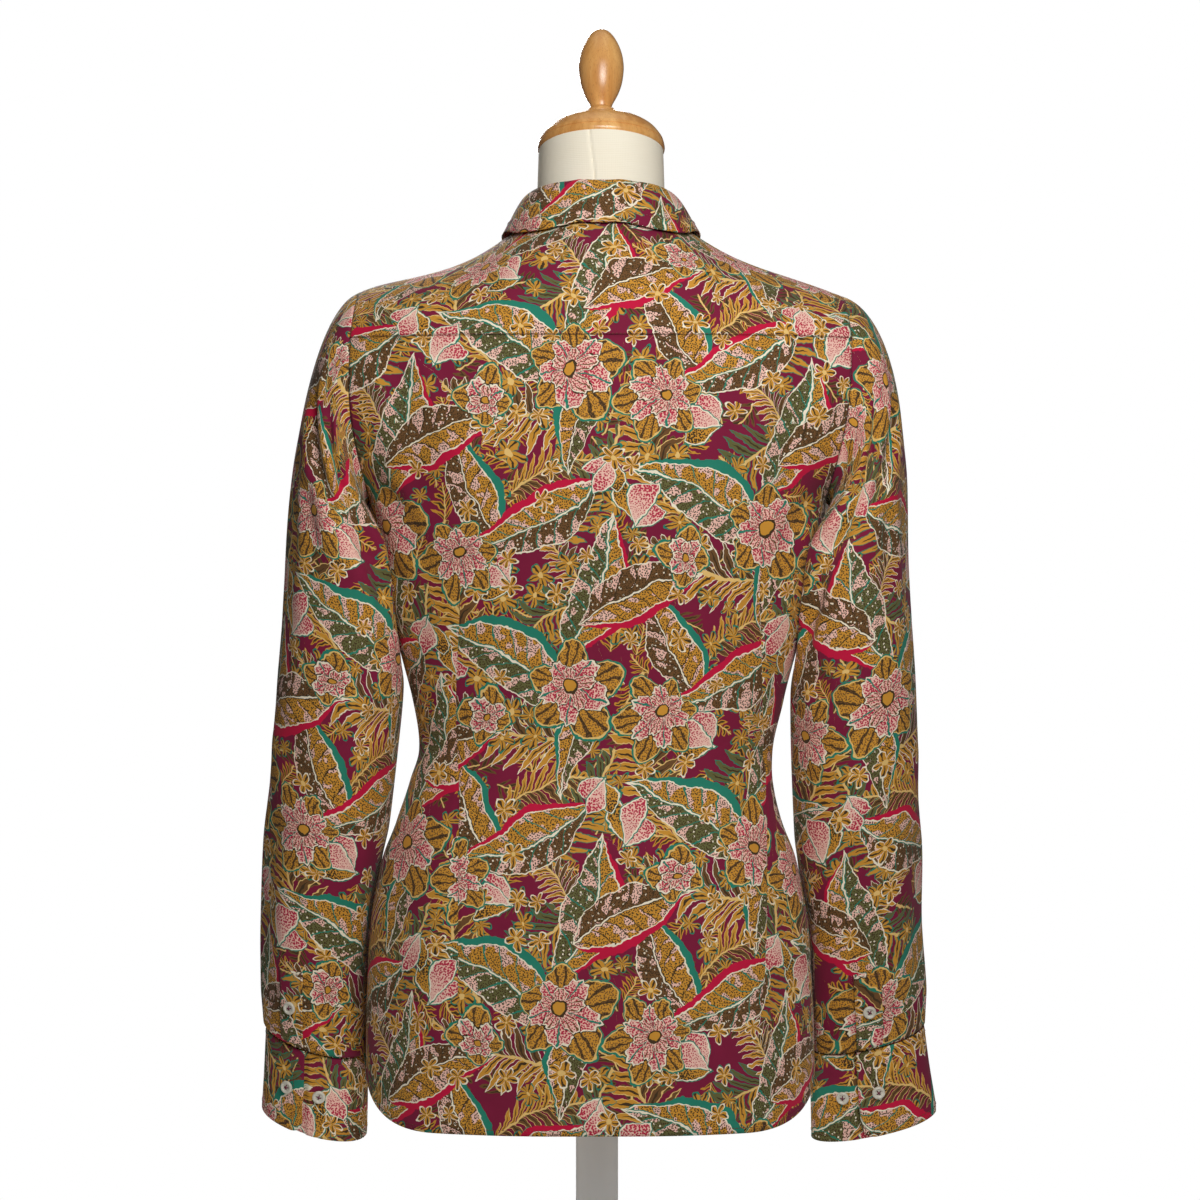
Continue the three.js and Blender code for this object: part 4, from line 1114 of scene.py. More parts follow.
# ---- body, yoke and fronts ----
def through(steps, *knots):
    """Shares at even steps across a panel, that pass through knots of a step and its share at each height."""
    share = knots[-1][1]
    for (start, a), (end, b) in zip(knots[-2::-1], knots[:0:-1]):
        share = np.where(steps <= end, mix(a, b, (steps - start) / (end - start)), share)
    return share


def darted(across, levels, last, first=None):
    """Each column's place in the flat cut as the end of the span before it and as the start of the next."""
    taken = dart_intake(levels)
    before, after = across.copy(), across.copy()
    before[:, last + 1 :] += taken
    after[:, last:] += taken
    if first:
        before[:, : first + 1] -= taken
        after[:, :first] -= taken
    return before, after


def add_back():
    dart = np.where(SHARES > 0, dart_lines(BACK, 1), dart_lines(BACK, -1))
    share = np.sign(SHARES) * through(np.abs(SHARES), (0, 0), (DART_SHARE, dart), (1, 1))
    grid = evened(body_point(BACK, level_at(LEVELS, share), share), share)
    middle = grid.shape[1] // 2
    first, last = middle - round(DART_SHARE * middle), middle + round(DART_SHARE * middle)
    normals = normals_of(grid, CHEST)
    across, up = arc_across(grid, middle), grid[..., 2]
    before, after = darted(across, LEVELS, last, first)
    seams = ("top", "start", "end")
    lift = creases(BACK_CREASES, across, up) + soft_waves(across, up, WAVE)
    lift = lift * edge_fade(grid.shape, seams, SEAM_FADE) + hem_fold(grid, LEVELS)
    lift += seam_roll(grid.shape, seams) + dart_groove(grid, LEVELS, first, last)
    grid = grid + normals * lift[..., None]
    made = cloth("back", grid, after, grid[..., 2], CHEST, before=before)
    stitch_hem(grid, normals, LEVELS)


def add_yoke():
    share = np.linspace(-1, 1, 141)[None, :]
    grid = upper_point(BACK, share, np.linspace(0, 1, 64)[:, None])
    normals = normals_of(grid, NECK_MIDDLE)
    across, up = arc_across(grid, grid.shape[1] // 2), arc_up(grid)
    seams = ("bottom", "top", "start", "end")
    lift = soft_waves(across, up, WAVE) * edge_fade(grid.shape, seams, SEAM_FADE)
    over_back = 0.5 * (1 - ease(np.arange(grid.shape[0])[:, None] / 6))
    lift += over_back + seam_roll(grid.shape, seams)
    grid = grid + normals * lift[..., None]
    made = cloth("yoke", grid, across, up, NECK_MIDDLE)
    stitches(grid, normals, 1, slice(1, -1))


def front_grid(hand):
    """One front, from its lapped edge out to the side, and the share and height of each of its points."""
    steps = np.linspace(0, 1, 101)
    band, dart = 0.12, 0.5
    lap, edge = -share_at(FRONT, LEVELS, FRONT_LAP), share_at(FRONT, LEVELS, BAND_EDGE)
    share = through(steps, (0, lap), (band, edge), (dart, dart_lines(FRONT, hand)), (1, 1))
    lower = evened(body_point(FRONT, level_at(LEVELS, share), hand * share), share)
    top = share[-1]
    start_x = body_point(FRONT, YOKE_Z, hand * top)[:, 0] - NECK_SHIFT
    by_share = upper_edge(hand * top, FRONT_NECK, math.pi)
    out = np.clip(hand * start_x / NECK["half_width"], -1, 1)
    by_distance = neck_plan(hand * (math.pi - np.arcsin(out)))
    blend = ease((steps - band) / 0.2)
    end = [mix(a, b, blend) for a, b in zip(by_distance, by_share)]
    rise = np.linspace(0, 1, 45)[1:, None]
    upper = climb_to(end, FRONT, start_x, rise)
    share = np.concatenate([share, np.broadcast_to(top, upper.shape[:2])])
    levels = np.concatenate([LEVELS, YOKE_Z + 100 * rise])
    return np.concatenate([lower, upper]), share, levels, round(band * 100), round(dart * 100)


def add_front(hand, name):
    grid, share, levels, band, dart = front_grid(hand)
    normals = normals_of(grid, CHEST)
    across, up = arc_across(grid, 0) - FRONT_LAP, arc_up(grid) + grid[0, :, 2]
    before, after = darted(across, levels, dart)
    seams = ("top", "end")
    calm = ease((across - CALM_FRONT["from"]) / CALM_FRONT["over"])
    lift = creases(FRONT_CREASES, across, grid[..., 2]) + soft_waves(across + 40 * hand, grid[..., 2], WAVE)
    lift = lift * calm * edge_fade(grid.shape, seams, SEAM_FADE) + hem_fold(grid, levels)
    lift += seam_roll(grid.shape, seams) + dart_groove(grid, levels, dart)
    if hand < 0:
        lift += LAYER * (1 - ease((share - UPPER_FRONT["from"]) / UPPER_FRONT["over"]))
    lifted = grid + normals * lift[..., None]
    made = cloth(f"front_{name}", lifted, hand * after, up, CHEST, before=hand * before)
    stitch_hem(lifted, normals, levels)
    if hand < 0:
        strip, normals = grid[:, : band + 1], normals[:, : band + 1]
        strip = strip + normals * (2 * LAYER + hem_fold(strip, levels)[..., None])
        made = cloth("front_band", strip, -across[:, : band + 1], up[:, : band + 1], CHEST)
        for column in (1, band - 1):
            stitches(strip, normals, slice(2, -2), column)


# ---- sleeves ----
def clear_of_body(hand, x, y, z):
    """x, measured out on its own side, moved out where it would be too close to the body."""
    level = np.minimum(z, UNDERARM_Z)
    depth = np.where(y > 0, BACK["depth"](level), FRONT["depth"](level))
    share = np.clip(np.abs(y) / depth, 0, 1)
    reach = body_half(level) * (1 - share**SECTION_POWER) ** (1 / SECTION_POWER)
    needed = hand * body_shift(level) + reach + SLEEVE_CLEARANCE
    spare = x - needed
    return needed + (spare + np.hypot(spare, CLEARANCE_SOFTNESS)) / 2


def lap_from(hand):
    """Where a cuff's lapped end and its sleeve's placket start, in degrees."""
    return CUFF["left_from"] if hand > 0 else CUFF["right_from"]


def ring_point(tables, hand, z, angle):
    """A point round a sleeve or cuff: angle in degrees from the inner side by way of the back."""
    name = "left" if hand > 0 else "right"
    half, depth, y, out = [curve(tables[name], "z", column)(z) for column in ("half", "depth", "y", "out")]
    lean = ease((SLEEVE_TILT_FROM - z) / (SLEEVE_TILT_FROM - SLEEVE[name][0]["z"]))
    beside, behind = -np.cos(np.radians(angle)) * half, np.sin(np.radians(angle)) * depth
    height = z + lean * (TILT[name] * beside + TILT["back"] * behind)
    x = clear_of_body(hand, out + beside, y + behind, height)
    return point_at(hand * x, y + behind, height)


def armhole_ring(hand):
    """Round the armhole from the underarm: up the back, over the yoke's end and down the front."""
    rise = np.linspace(0, 1, 31)
    level = levels_up(2, 41)[1:]
    back = body_point(BACK, level, np.full(level.shape, hand))
    yoke = upper_point(BACK, np.full(30, hand), rise[1:])
    chest = upper_point(FRONT, np.full(29, hand), rise[1:-1][::-1])
    front = body_point(FRONT, level[1:][::-1], np.full(level.size - 1, hand))
    return np.concatenate([back, yoke, chest, front])


def head_points(hand, start, end, t):
    """The sleeve's head leaves the armhole outwards and turns down to the first whole ring."""
    length = np.linalg.norm(end - start, axis=-1, keepdims=True)
    out = HEAD["left_out"] if hand > 0 else -HEAD["right_out"]
    leaving = length * np.array([out, 0, -HEAD["down"]])
    arriving = length * np.array([0, 0, -HEAD["arrive"]])
    t = t[:, None, None]
    from_start = start * (1 + 2 * t) * (1 - t) ** 2 + leaving * t * (1 - t) ** 2
    points = from_start + end * t * t * (3 - 2 * t) + arriving * t * t * (t - 1)
    free = clear_of_body(hand, hand * points[..., 0], points[..., 1], points[..., 2])
    x = mix(hand * points[..., 0], free, ease(t[..., 0] / HEAD["free_from"]))
    return np.concatenate([(hand * x)[..., None], points[..., 1:]], -1)


def add_sleeve(hand, name):
    armhole = armhole_ring(hand)
    steps = np.linalg.norm(np.roll(armhole, -1, 0) - armhole, axis=1)
    angle = 360 * (np.cumsum(steps) - steps) / steps.sum()
    heights = np.linspace(SLEEVE[name][0]["z"], SLEEVE[name][-1]["z"], 112)[:, None]
    arm = ring_point(SLEEVE, hand, heights, angle[None, :])
    head = head_points(hand, armhole, arm[-1], np.linspace(0, 1, 42)[:-1])[::-1]
    grid = np.concatenate([arm, head])
    rows, cols = grid.shape[:2]
    grid = smoothed(grid, near(np.arange(rows), arm.shape[0], 7)[:, None], 40)
    inside = (hand * 200, 0, 400)
    normals = normals_of(grid, inside, closed=True)
    looped = np.concatenate([grid, grid[:, :1]], 1)
    outermost = int(np.argmin(np.abs(angle - 180)))
    across, up = arc_across(looped, outermost), arc_up(looped)
    lift = creases(SLEEVE_CREASES[name], across[:, :cols], grid[..., 2], period=SLEEVE_ROUND)
    lift += soft_waves(across[:, :cols], grid[..., 2] + 30 * hand, 0.6)
    highest_ridge, calm_by_seam = 1.2, 0.8
    lift = np.minimum(lift, highest_ridge)
    lift = lift * edge_fade(grid.shape, ["bottom"], 8) * edge_fade(grid.shape, ["top"], 4)
    lift *= mix(1, ease(np.minimum(angle, 360 - angle) / 40), calm_by_seam)[None, :]
    lift += seam_roll(grid.shape, ("bottom", "top"), SLEEVE_SEAM_DEPTH)
    beside = np.radians(lap_from(hand) - angle)[None, :] * CUFF["reach"]
    opened = ease((heights[0] + PLACKET["top"] + SLIT["above"] - grid[..., 2]) / SLIT["over"])
    lift -= SLIT["depth"] * opened * near(beside, SLIT["middle"], SLIT["width"])
    grid = grid + normals * lift[..., None]
    made = cloth(f"sleeve_{name}", grid, across, up, inside, closed=True)


def cuff_point(hand, angle, down, out):
    bottom = CUFF_SECTIONS["left"][0]["z"] - (RIGHT_CUFF_LONGER if hand < 0 else 0)
    z = mix(CUFF_SECTIONS["left"][2]["z"], bottom, down)
    point = ring_point(CUFF_SECTIONS, hand, z, angle)
    middle_y = point[..., 1] - CUFF["reach"] * np.sin(np.radians(angle))
    away = np.stack([point[..., 0] - hand * ARM["x"], point[..., 1] - middle_y], -1)
    point[..., :2] += unit(away) * np.asarray(out)[..., None]
    return point


def add_cuff(hand, name):
    turned = (360 + CUFF["lap"]) * np.linspace(0, 1, 181)
    down = np.linspace(1, 0, 26)[:, None]
    into_corner = np.maximum(0, CUFF["corner"] - np.radians(turned) * CUFF["reach"])
    cut = CUFF["corner"] - np.sqrt(CUFF["corner"] ** 2 - into_corner**2)
    out = LAYER * (1 - ease((turned - CUFF["lap"]) / CUFF["fade"]))
    drop = down * (1 - cut / CUFF["height"])
    grid = cuff_point(hand, lap_from(hand) + turned, drop, np.broadcast_to(out, drop.shape))
    inside = (hand * ARM["x"], ARM["y"], ARM["cuff_z"])
    normals = normals_of(grid, inside)
    across, up = arc_across(grid, 0), CUFF["height"] * (1 - drop)
    lift = soft_waves(across + 20, up + 60 * hand, 0.35) + seam_roll(grid.shape, ["top"], SLEEVE_SEAM_DEPTH)
    tucked = ease((turned - CUFF_TUCK["from"]) / CUFF_TUCK["over"])
    lift -= CUFF_TUCK["depth"] * tucked * np.ones(drop.shape)
    grid = grid + normals * lift[..., None]
    made = cloth(f"cuff_{name}", grid, -hand * across, up, inside)
    for rows, cols in ((2, slice(5, -5)), (-3, slice(5, -5)), (slice(2, -2), 5)):
        stitches(grid, normals, rows, cols)


def placket_point(hand, across, up):
    angle = lap_from(hand) + np.degrees(across / CUFF["reach"])
    return ring_point(SLEEVE, hand, SLEEVE["left"][0]["z"] + up, angle)


def add_placket(hand, name):
    across = np.linspace(0, PLACKET["width"], 15)[None, :]
    up = np.linspace(PLACKET["bottom"], PLACKET["top"], 40)[:, None]
    grid = placket_point(hand, across, up)
    inside = (hand * ARM["x"], ARM["y"], ARM["placket_z"])
    normals = normals_of(grid, inside)
    grid = grid + normals * (LAYER + PLACKET["lift"])
    node = f"sleeve_placket_{name}"
    made = cloth(node, grid, -hand * across, up, inside, name=f"printed_placket_{name}")
    for rows, cols in ((slice(1, -1), 1), (slice(1, -1), -2), (-2, slice(1, -1))):
        stitches(grid, normals, rows, cols)


# ---- collar ----
def from_neck(points):
    """Directions in plan away from the middle of the neck."""
    return unit(np.stack([points[..., 0] - NECK_SHIFT, points[..., 1] - NECK["mid_y"]], -1))


def stand_point(angle, rise):
    point_x, point_y = neck_plan(np.radians(angle))
    point = shoulder_point(point_x, turn_over(point_x, point_y))
    height = mix(STAND["back"], STAND["front"], ease(np.abs(angle) / STAND["low_from"]))
    on_top = LAYER * ease((-angle - STAND["on_top_from"]) / STAND["on_top_over"]) * (angle < 0)
    plan = point[..., :2] + from_neck(point) * (on_top - STAND["lean"] * rise)[..., None]
    return np.concatenate([plan, (point[..., 2] + height * rise)[..., None]], -1)


def add_stand():
    reach = 180 + STAND["lap"]
    angle = np.linspace(-reach, reach, 193)[None, :]
    rise = np.linspace(STAND["start_rise"], 1, 14)[:, None]
    into_end = np.clip((np.abs(angle) - reach + STAND["end"]) / STAND["end"], 0, 1)
    corner = STAND["end_rise"] + (1 - STAND["end_rise"]) * np.sqrt(1 - into_end**2)
    grid = stand_point(*np.broadcast_arrays(angle, rise * corner))
    made = cloth("collar_stand", grid, arc_across(grid, 96), arc_up(grid), NECK_MIDDLE)


def leaf_grid():
    """The leaf folds over the stand's top and falls to the collar's edge."""
    share = np.linspace(-1, 1, 181)[None, :]
    fall = np.linspace(1, 0, 36)[:, None, None]
    top = stand_point(share * LEAF["front"], np.ones(share.shape))
    away = np.concatenate([from_neck(top), np.zeros(share.shape + (1,))], -1)
    over = ease((share - LEAF["clear_from"]) / LEAF["clear_over"])
    clear = LAYER * np.where(share < 0, 1, 1 + over)
    fold = top + away * clear[..., None] + np.array([0, 0, LEAF["up"]])
    roll = fold + away * LEAF["roll"]
    x = np.where(share < 0, -1, 1) * edge_x(np.abs(share))
    edge = shoulder_point(x, edge_turn(np.abs(share)))
    out = unit(point_at(x, edge[..., 1] + RIDGE_Y, 0)) * LEAF["lift"]
    edge = edge + out + np.array([0, 0, LEAF["lift"]])
    return fold * (1 - fall) ** 2 + roll * 2 * fall * (1 - fall) + edge * fall**2


def add_leaf():
    grid = leaf_grid()
    rows, cols = grid.shape[:2]
    normals = normals_of(grid, NECK_MIDDLE)
    across, up = arc_across(grid, cols // 2), arc_up(grid)
    from_edge = np.arange(rows)[:, None] / (rows - 1)
    lift = soft_waves(across, up + 15, 0.4) * edge_fade(grid.shape, ["top"], 10)
    lift += 0.35 * (1 - ease((from_edge - 0.14) / 0.05))
    grid = grid + normals * lift[..., None]
    made = cloth("collar_leaf", grid, across, up, NECK_MIDDLE)
    stitches(grid, normals, 5, slice(4, -4))


# ---- turned and round things ----
def smooth_run(points, steps):
    """A smooth curve through points, without its last one."""
    p = np.array(points, float)
    if len(p) == 2:
        return p[:1]
    padded = np.concatenate([2 * p[:1] - p[1:2], p, 2 * p[-1:] - p[-2:-1]])
    t = np.linspace(0, 1, steps, endpoint=False)[:, None]
    spans = []
    for a, b, c, d in zip(padded, padded[1:], padded[2:], padded[3:]):
        bent = (2 * a - 5 * b + 4 * c - d) * t**2 + (3 * b - a - 3 * c + d) * t**3
        spans.append(0.5 * (2 * b + (c - a) * t + bent))
    return np.concatenate(spans)


def profile_of(*runs, steps=5):
    """A profile of smooth runs of (radius, height), each from the last one's end, the first from the axis."""
    starts = [(0, runs[0][0][1])] + [run[-1] for run in runs[:-1]]
    full = [[start, *run] for start, run in zip(starts, runs)]
    return np.concatenate([smooth_run(run, steps) for run in full] + [np.array([runs[-1][-1]], float)])


def closed_rings(rings, low, high):
    """Points and faces of a row of equal rings, closed by a point at either end."""
    count, around = rings.shape[:2]
    points = np.concatenate([rings.reshape(-1, 3), [low, high]])
    first, last = count * around, (count - 1) * around
    faces = []
    for j in range(around):
        k = (j + 1) % around
        faces += [(first, k, j), (first + 1, last + j, last + k)]
        faces += [(r + j, r + k, r + k + around, r + j + around) for r in range(0, last, around)]
    return points, faces


def lathe(profile, around):
    """Points and faces of a profile turned about +Z, from the axis below to the axis above."""
    angle = np.linspace(0, 2 * math.pi, around, endpoint=False)
    radius, height = profile[1:-1, :1], profile[1:-1, 1:]
    rings = point_at(radius * np.cos(angle), radius * np.sin(angle), height)
    return closed_rings(rings, [0, 0, profile[0, 1]], [0, 0, profile[-1, 1]])


def turned_from(points, direction, place):
    """Points about +Z turned so that +Z becomes direction, and moved to place."""
    turn = np.array(Vector((0, 0, 1)).rotation_difference(Vector(direction)).to_matrix())
    return points @ turn.T + np.array(place, float)


def add_turned(name, node, material, profile, around, direction=(0, 0, 1), place=(0, 0, 0)):
    points, faces = lathe(profile, around)
    mesh_object(name, node, material, turned_from(points, direction, place), faces, sharp=38)


def button_profile(radius):
    return profile_of(
        [(radius - 0.8, 0)],
        [(radius - 0.15, 0.4), (radius, 1), (radius - 0.3, 1.8), (radius - 1, 2.3)],
        [(radius - 1.7, 2.2), (radius - 2.3, 1.6)],
        [(2.2, 1.55)],
        [(2, 1.55), (1.7, 1.55), (1.4, 1.55), (1.1, 1.55), (0.7, 1.55)],
        [(0, 1.55)],
        steps=3,
    )


HOLES = [(x * HOLE["from_middle"], y * HOLE["from_middle"]) for x, y in ((1, 1), (-1, 1), (-1, -1), (1, -1))]
thread_points, thread_faces = [], []


def add_strand(path, radius):
    """A round strand of thread along a path, added to the piece that holds all the buttons' thread."""
    along = unit(np.gradient(path, axis=0))
    across = unit(np.cross(along, [0.31, 0.52, 0.79]))[:, None]
    other = np.cross(along[:, None], across)
    turn = np.linspace(0, 2 * math.pi, STRAND["sides"], endpoint=False)[:, None]
    rings = path[:, None] + radius * (across * np.cos(turn) + other * np.sin(turn))
    points, faces = closed_rings(rings, path[0], path[-1])
    base = sum(len(p) for p in thread_points)
    thread_points.append(points)
    thread_faces.extend([base + corner for corner in face] for face in faces)


def add_button(name, points, inside, lift, radius, spin):
    """A four-hole button sewn on with a crossed stitch. points are its place, one beside it and one above."""
    place, beside, above = points
    outward = np.cross(beside - place, above - place)
    outward = unit(turned_out(outward, outward, place, inside))
    seat = place + outward * (lift + BUTTON["gap"])
    c, s = math.cos(spin), math.sin(spin)
    spun = np.array([[c, -s, 0], [s, c, 0], [0, 0, 1]])
    points, faces = lathe(button_profile(radius), 48)
    for x, y in HOLES:
        far = np.hypot(points[:, 0] - x, points[:, 1] - y)
        sunk = HOLE["depth"] * (1 - ease(far / HOLE["radius"] - 0.35))
        points[:, 2] -= np.where(points[:, 2] > 1.4, sunk, 0)
    mesh_object(name, name, PEARL, turned_from(points @ spun.T, outward, seat), faces)
    t = np.linspace(-1, 1, 9)
    for (x, y), rise in zip(HOLES[:2], (0.85, 1.19)):
        for shift in (-STRAND["apart"], STRAND["apart"]):
            path = np.stack([x * t - shift * y, y * t + shift * x, 1.15 + rise * (1 - t**2) ** 0.5], 1)
            add_strand(turned_from(path @ spun.T, outward, seat), STRAND["crossing"])
    for x, y in HOLES:
        path = np.array([[x, y, -BUTTON["gap"] - 0.2], [x * 0.7, y * 0.7, -0.4], [x, y, 0.2]])
        add_strand(turned_from(path @ spun.T, outward, seat), STRAND["shank"])


def add_front_buttons():
    for i in range(BUTTON["count"]):
        z = BUTTON["top_z"] - BUTTON["pitch"] * i
        points = [body_point(FRONT, h, share_at(FRONT, h, x)) for x, h in ((0, z), (3, z), (0, z + 3))]
        add_button(f"button_front_{i + 1}", points, CHEST, 2 * LAYER, BUTTON["radius"], 0.2 * i)
    points = stand_point(np.array([-180, -178, -180]), np.array([0.5, 0.5, 0.7]))
    add_button("button_collar", points, NECK_MIDDLE, 0, BUTTON["small"], 0.4)


def add_sleeve_buttons(hand, name):
    inside = (hand * ARM["x"], ARM["y"], ARM["cuff_z"])
    for label, turned, out, spin in (("outer", 18, LAYER, 0.1), ("inner", -16, 0, 0.5)):
        angle = lap_from(hand) + turned + np.array([0, 3, 0])
        points = cuff_point(hand, angle, np.array([0.5, 0.5, 0.4]), np.full(3, out))
        add_button(f"button_cuff_{label}_{name}", points, inside, 0, BUTTON["small"], spin)
    across, up = PLACKET["width"] / 2 + np.array([0, 3, 0]), PLACKET["button"] + np.array([0, 0, 3])
    inside = (hand * ARM["x"], ARM["y"], ARM["placket_z"])
    points = placket_point(hand, across, up)
    add_button(f"button_placket_{name}", points, inside, LAYER + PLACKET["lift"], BUTTON["small"], 0.3)


def add_button_thread():
    mesh_object("button_thread", None, BUTTON_THREAD, np.concatenate(thread_points), thread_faces)


# ---- topstitching ----
TOPSTITCH = {"Pitch": 2.9 * MM, "Stitch Length": 2.2 * MM, "Thread Width": 0.5 * MM, "Seed": 7}


def add_topstitching():
    """Short stitches along every kept line, laid by geometry nodes and then made a plain mesh."""
    points, edges = [], []
    for line in stitch_lines:
        start = len(points)
        points.extend((line * MM).tolist())
        edges.extend((start + i, start + i + 1) for i in range(len(line) - 1))
    mesh = bpy.data.meshes.new("topstitching_lines")
    mesh.from_pydata(points, edges, [])
    lines = new_object("topstitching_lines", mesh)

    tree = bpy.data.node_groups.new("topstitching", "GeometryNodeTree")
    tree.interface.new_socket("Lines", in_out="INPUT", socket_type="NodeSocketGeometry")
    sizes = {}
    for name in TOPSTITCH:
        kind = "NodeSocketInt" if name == "Seed" else "NodeSocketFloat"
        sizes[name] = tree.interface.new_socket(name, in_out="INPUT", socket_type=kind)
    tree.interface.new_socket("Stitches", in_out="OUTPUT", socket_type="NodeSocketGeometry")
    given = add_node(tree, "NodeGroupInput").outputs

    def result(kind, inputs=(), output=0, **settings):
        return add_node(tree, kind, inputs, **settings).outputs[output]

    curves = result("GeometryNodeMeshToCurve", {"Mesh": given["Lines"]})
    spaced = result("GeometryNodeResampleCurve", {"Curve": curves, "Length": given["Pitch"]}, mode="LENGTH")
    stitch = result("GeometryNodeMeshUVSphere", {"Segments": 6, "Rings": 4, "Radius": 0.5}, "Mesh")
    tangent = result("GeometryNodeInputTangent")
    turn = result("FunctionNodeAlignRotationToVector", {"Vector": tangent}, axis="Z")
    uneven = add_node(tree, "FunctionNodeRandomValue", {"Min": 0.85, "Max": 1.1, "Seed": given["Seed"]})
    uneven = next(socket for socket in uneven.outputs if socket.type == "VALUE")
    long_side = result("ShaderNodeMath", {0: given["Stitch Length"], 1: uneven}, operation="MULTIPLY")
    wide = given["Thread Width"]
    size = result("ShaderNodeCombineXYZ", {0: wide, 1: wide, 2: long_side})
    placed = {"Points": spaced, "Instance": stitch, "Rotation": turn, "Scale": size}
    laid = result("GeometryNodeInstanceOnPoints", placed)
    real = result("GeometryNodeRealizeInstances", {"Geometry": laid})
    coloured = result("GeometryNodeSetMaterial", {"Geometry": real, "Material": SEWING})
    add_node(tree, "NodeGroupOutput", {"Stitches": coloured})

    modifier = lines.modifiers.new("topstitching", "NODES")
    modifier.node_group = tree
    for name, value in TOPSTITCH.items():
        modifier[sizes[name].identifier] = value
    bpy.context.view_layer.update()
    evaluated = lines.evaluated_get(bpy.context.evaluated_depsgraph_get())
    made = new_object("topstitching", bpy.data.meshes.new_from_object(evaluated))
    bpy.data.objects.remove(lines)
    made.data.polygons.foreach_set("use_smooth", [True] * len(made.data.polygons))
    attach(made, "root")


# ---- dress form and stand ----
def form_section(angle, z, wide, deep):
    def rounded(value):
        return np.sign(value) * np.abs(value) ** (2 / SECTION_POWER)

    depth = np.where(np.cos(angle) >= 0, BACK["depth"](z), FRONT["depth"](z))
    x = body_half(z) * wide * rounded(np.sin(angle))
    return point_at(x + body_shift(z), depth * deep * rounded(np.cos(angle)), z)


def neck_ring(angle, half, z):
    return point_at(half * np.sin(angle) + NECK_SHIFT, FORM["neck_y"] + half * np.cos(angle), z)


def form_seam(grid, angle):
    """How deep the seam up the back of the neck lies at each point."""
    share = np.clip((grid[..., 2] - FORM_SEAM["low_z"]) / FORM_SEAM["length"], 0, 1)
    turned = (angle + math.pi) % (2 * math.pi) - math.pi
    off_seam = (turned - np.radians(mix(6, 12, share))) * NECK_TOP["half"]
    return FORM_SEAM["depth"] * near(off_seam, 0, FORM_SEAM["width"])


def add_form():
    angle = np.linspace(0, -2 * math.pi, 240, endpoint=False)[None, :]
    z = np.linspace(FORM_RINGS[0]["z"], FORM["top_z"], 96)[:, None]
    trunk = form_section(angle, z, curve(FORM_RINGS, "z", "wide")(z), curve(FORM_RINGS, "z", "deep")(z))
    t = np.linspace(0, 1, 40)[1:, None] * math.pi / 2
    plan = mix(neck_ring(angle, FORM["neck_half"], 0)[..., :2], trunk[-1:, :, :2], np.cos(t)[..., None])
    x = plan[..., 0] - NECK_SHIFT
    cover = shoulder_point(x, turn_over(x, plan[..., 1]))[..., 2] - FORM["clearance"]
    height = mix(FORM["top_z"], cover, np.sin(t) ** FORM["roundness"])
    shoulders = np.concatenate([plan, height[..., None]], -1)
    up = np.linspace(0, 1, 26)[1:, None]
    half = mix(FORM["neck_half"], NECK_TOP["half"], up)
    flat_top = NECK_TOP["z"] + math.tan(math.radians(NECK_TOP["tilt"])) * half * np.cos(angle)
    neck = neck_ring(angle, half, mix(shoulders[-1:, :, 2], flat_top, up))
    grid = np.concatenate([trunk, shoulders, neck])
    neck_row = len(trunk) + len(shoulders)
    grid = smoothed(grid, near(np.arange(len(grid)), neck_row, 5)[:, None], 40)
    grid = grid - normals_of(grid, CHEST, closed=True) * form_seam(grid, angle)[..., None]
    points, faces = closed_rings(grid, grid[0].mean(0), grid[-1].mean(0))
    mesh_object("linen_form", "form_torso", LINEN, points, faces, sharp=50)


def add_cap_and_finial():
    tilt = math.radians(NECK_TOP["tilt"])
    upright = (0, -math.sin(tilt), math.cos(tilt)), (NECK_SHIFT, FORM["neck_y"], NECK_TOP["z"])
    cap = profile_of(
        [(47.8, 0.3)],
        [(48.5, 1.8), (48.7, 3.4), (48.3, 6)],
        [(47.6, 6.4)],
        [(48.1, 6.9)],
        [(46.6, 10.6), (41, 17.5), (31, 23.5), (19, 27), (14.5, 28.3)],
        [(0, 28.3)],
        steps=6,
    )
    finial = profile_of(
        [(13, 28.6)],
        [(13.6, 29.8), (13.4, 31), (11.5, 33.6), (8, 36.2)],
        [
            *((9, 39.5), (11.6, 44.5), (14.3, 50.6), (16.3, 57.5), (17.4, 66), (17.4, 72)),
            *((16.3, 79.5), (13.8, 87), (10, 94), (5.6, 98.6), (0, 100.5)),
        ],
    )
    add_turned("beech_cap", "neck_cap", BEECH, cap, 96, *upright)
    add_turned("beech_finial", "finial", BEECH, finial, 64, *upright)


def add_stand_and_base():
    radius, top = BASE["radius"], BASE["height"]
    base = profile_of(
        [(radius - 2, 0)],
        [(radius - 0.5, 0.5), (radius, 2)],
        [(radius, top - 4)],
        [(radius - 1, top - 1.2), (radius - 4, top)],
        [(0, top)],
    )
    radius, low, high = STEM.values()
    stem = profile_of([(radius, low)], [(radius, high)], [(0, high)])
    add_turned("painted_base", "stand_base", PAINT, base, 128)
    add_turned("painted_stem", "stand_stem", PAINT, stem, 64)


# ---- floor, light and camera, in metres ----
FLOOR_RADIUS = 0.66  # its far edge lies just below what the camera sees
LIT_POINT = (0, 0, 0.75)
CAMERA = {"place": (-0.00228, 3.2, 0.558), "lens_mm": 126.3, "sensor_mm": 36}
LIGHTS = table(
    "name place size watts",
    ("key", (-0.22, 1.2, 1.2), 0.6, 14.1),
    ("fill", (-0.5, 2.7, 1.0), 1.2, 2),
    ("front_key", (0.22, -1.2, 1.2), 0.6, 14.1),
    ("front_fill", (0.5, -2.7, 1.0), 1.2, 2),
    ("above", (0, 0, 2.9), 2.0, 6),
)


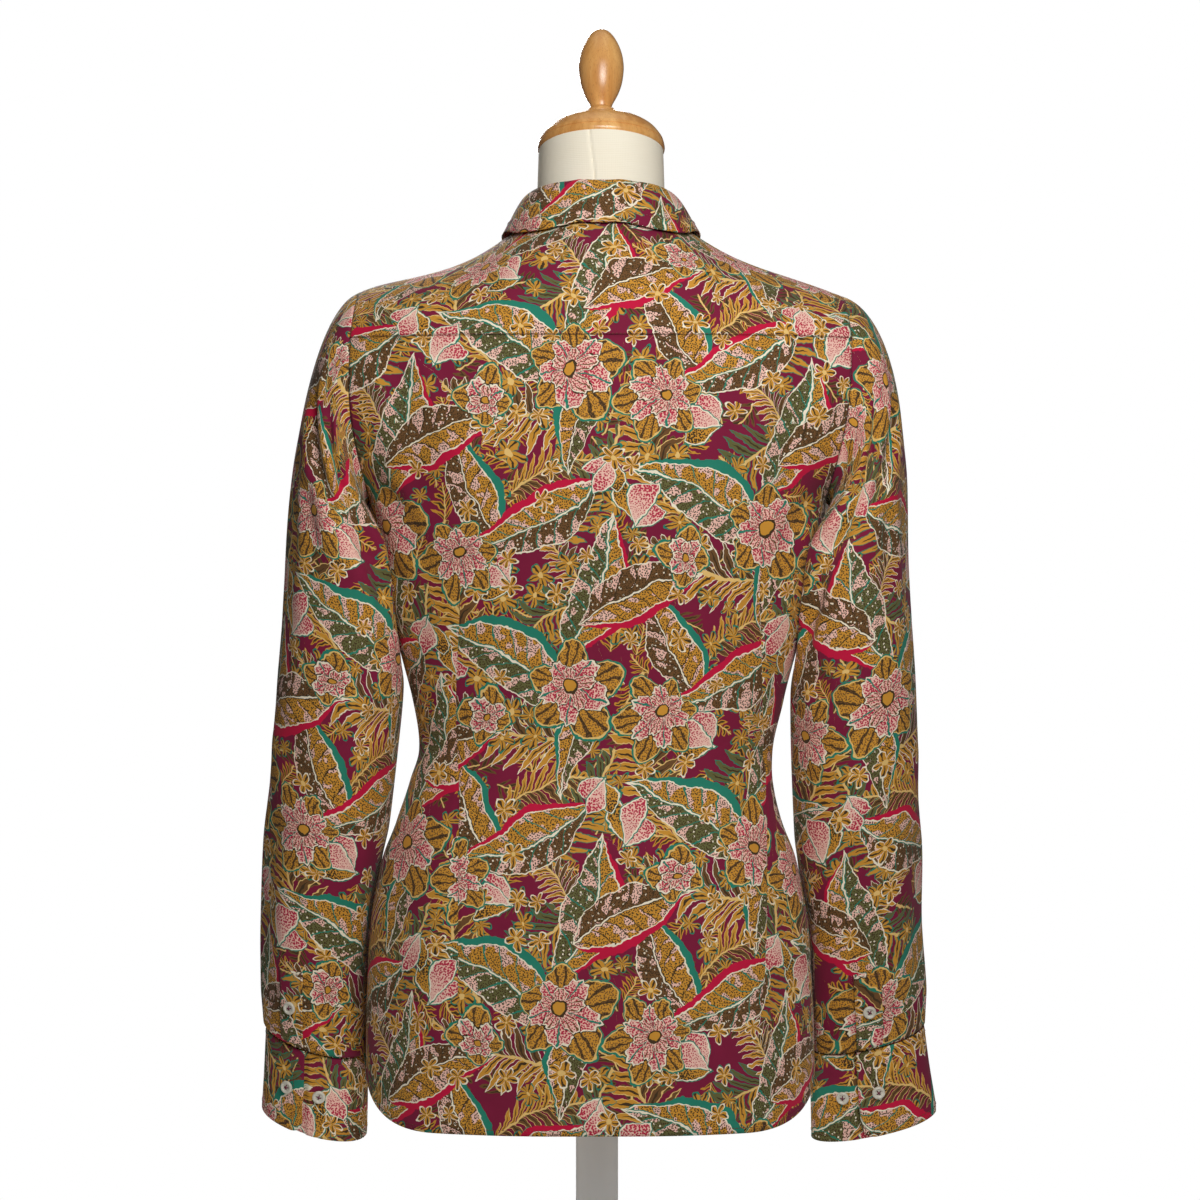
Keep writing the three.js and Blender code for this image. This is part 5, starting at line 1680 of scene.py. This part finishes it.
def add_floor():
    turn = np.linspace(0, 2 * math.pi, 97)[:-1]
    mesh = bpy.data.meshes.new("studio_floor")
    rim = [(FLOOR_RADIUS * math.cos(t), FLOOR_RADIUS * math.sin(t), 0) for t in turn]
    mesh.from_pydata(rim, [], [tuple(range(len(rim)))])
    mesh.materials.append(studio_floor())
    new_object("studio_floor", mesh)


def add_surroundings():
    """White behind everything the camera sees, and a softer grey light from all round."""
    world = bpy.data.worlds.new("studio")
    world.use_nodes = True
    tree = world.node_tree
    tree.nodes.clear()
    seen = add_node(tree, "ShaderNodeLightPath").outputs["Is Camera Ray"]
    shares = {0: seen}
    for place, tone, strength in ((1, (0.97, 0.98, 1, 1), 0.08), (2, (1, 1, 1, 1), 1)):
        lit = {"Color": tone, "Strength": strength}
        shares[place] = add_node(tree, "ShaderNodeBackground", lit).outputs[0]
    both = add_node(tree, "ShaderNodeMixShader", shares).outputs[0]
    add_node(tree, "ShaderNodeOutputWorld", {"Surface": both})
    bpy.context.scene.world = world
    bpy.context.scene.view_settings.view_transform = "Standard"


def add_lights():
    for row in LIGHTS:
        data = bpy.data.lights.new(row["name"], "AREA")
        data.energy = row["watts"]
        data.size = row["size"]
        light = new_object(row["name"], data)
        light.location = row["place"]
        light.rotation_euler = (Vector(LIT_POINT) - light.location).to_track_quat("-Z", "Y").to_euler()
        light.visible_camera = False


def add_camera():
    """A camera straight behind the shirt."""
    data = bpy.data.cameras.new("camera")
    data.lens = CAMERA["lens_mm"]
    data.sensor_width = CAMERA["sensor_mm"]
    camera = new_object("camera", data)
    camera.location = CAMERA["place"]
    camera.rotation_euler = (math.radians(90), 0, math.radians(180))
    bpy.context.scene.camera = camera


add_stand_and_base()
add_form()
add_cap_and_finial()
add_back()
add_yoke()
add_front(1, "left")
add_front(-1, "right")
add_stand()
add_leaf()
add_front_buttons()
for hand, name in ((1, "left"), (-1, "right")):
    add_sleeve(hand, name)
    add_cuff(hand, name)
    add_placket(hand, name)
    add_sleeve_buttons(hand, name)
add_button_thread()
add_topstitching()
add_floor()
add_surroundings()
add_lights()
add_camera()
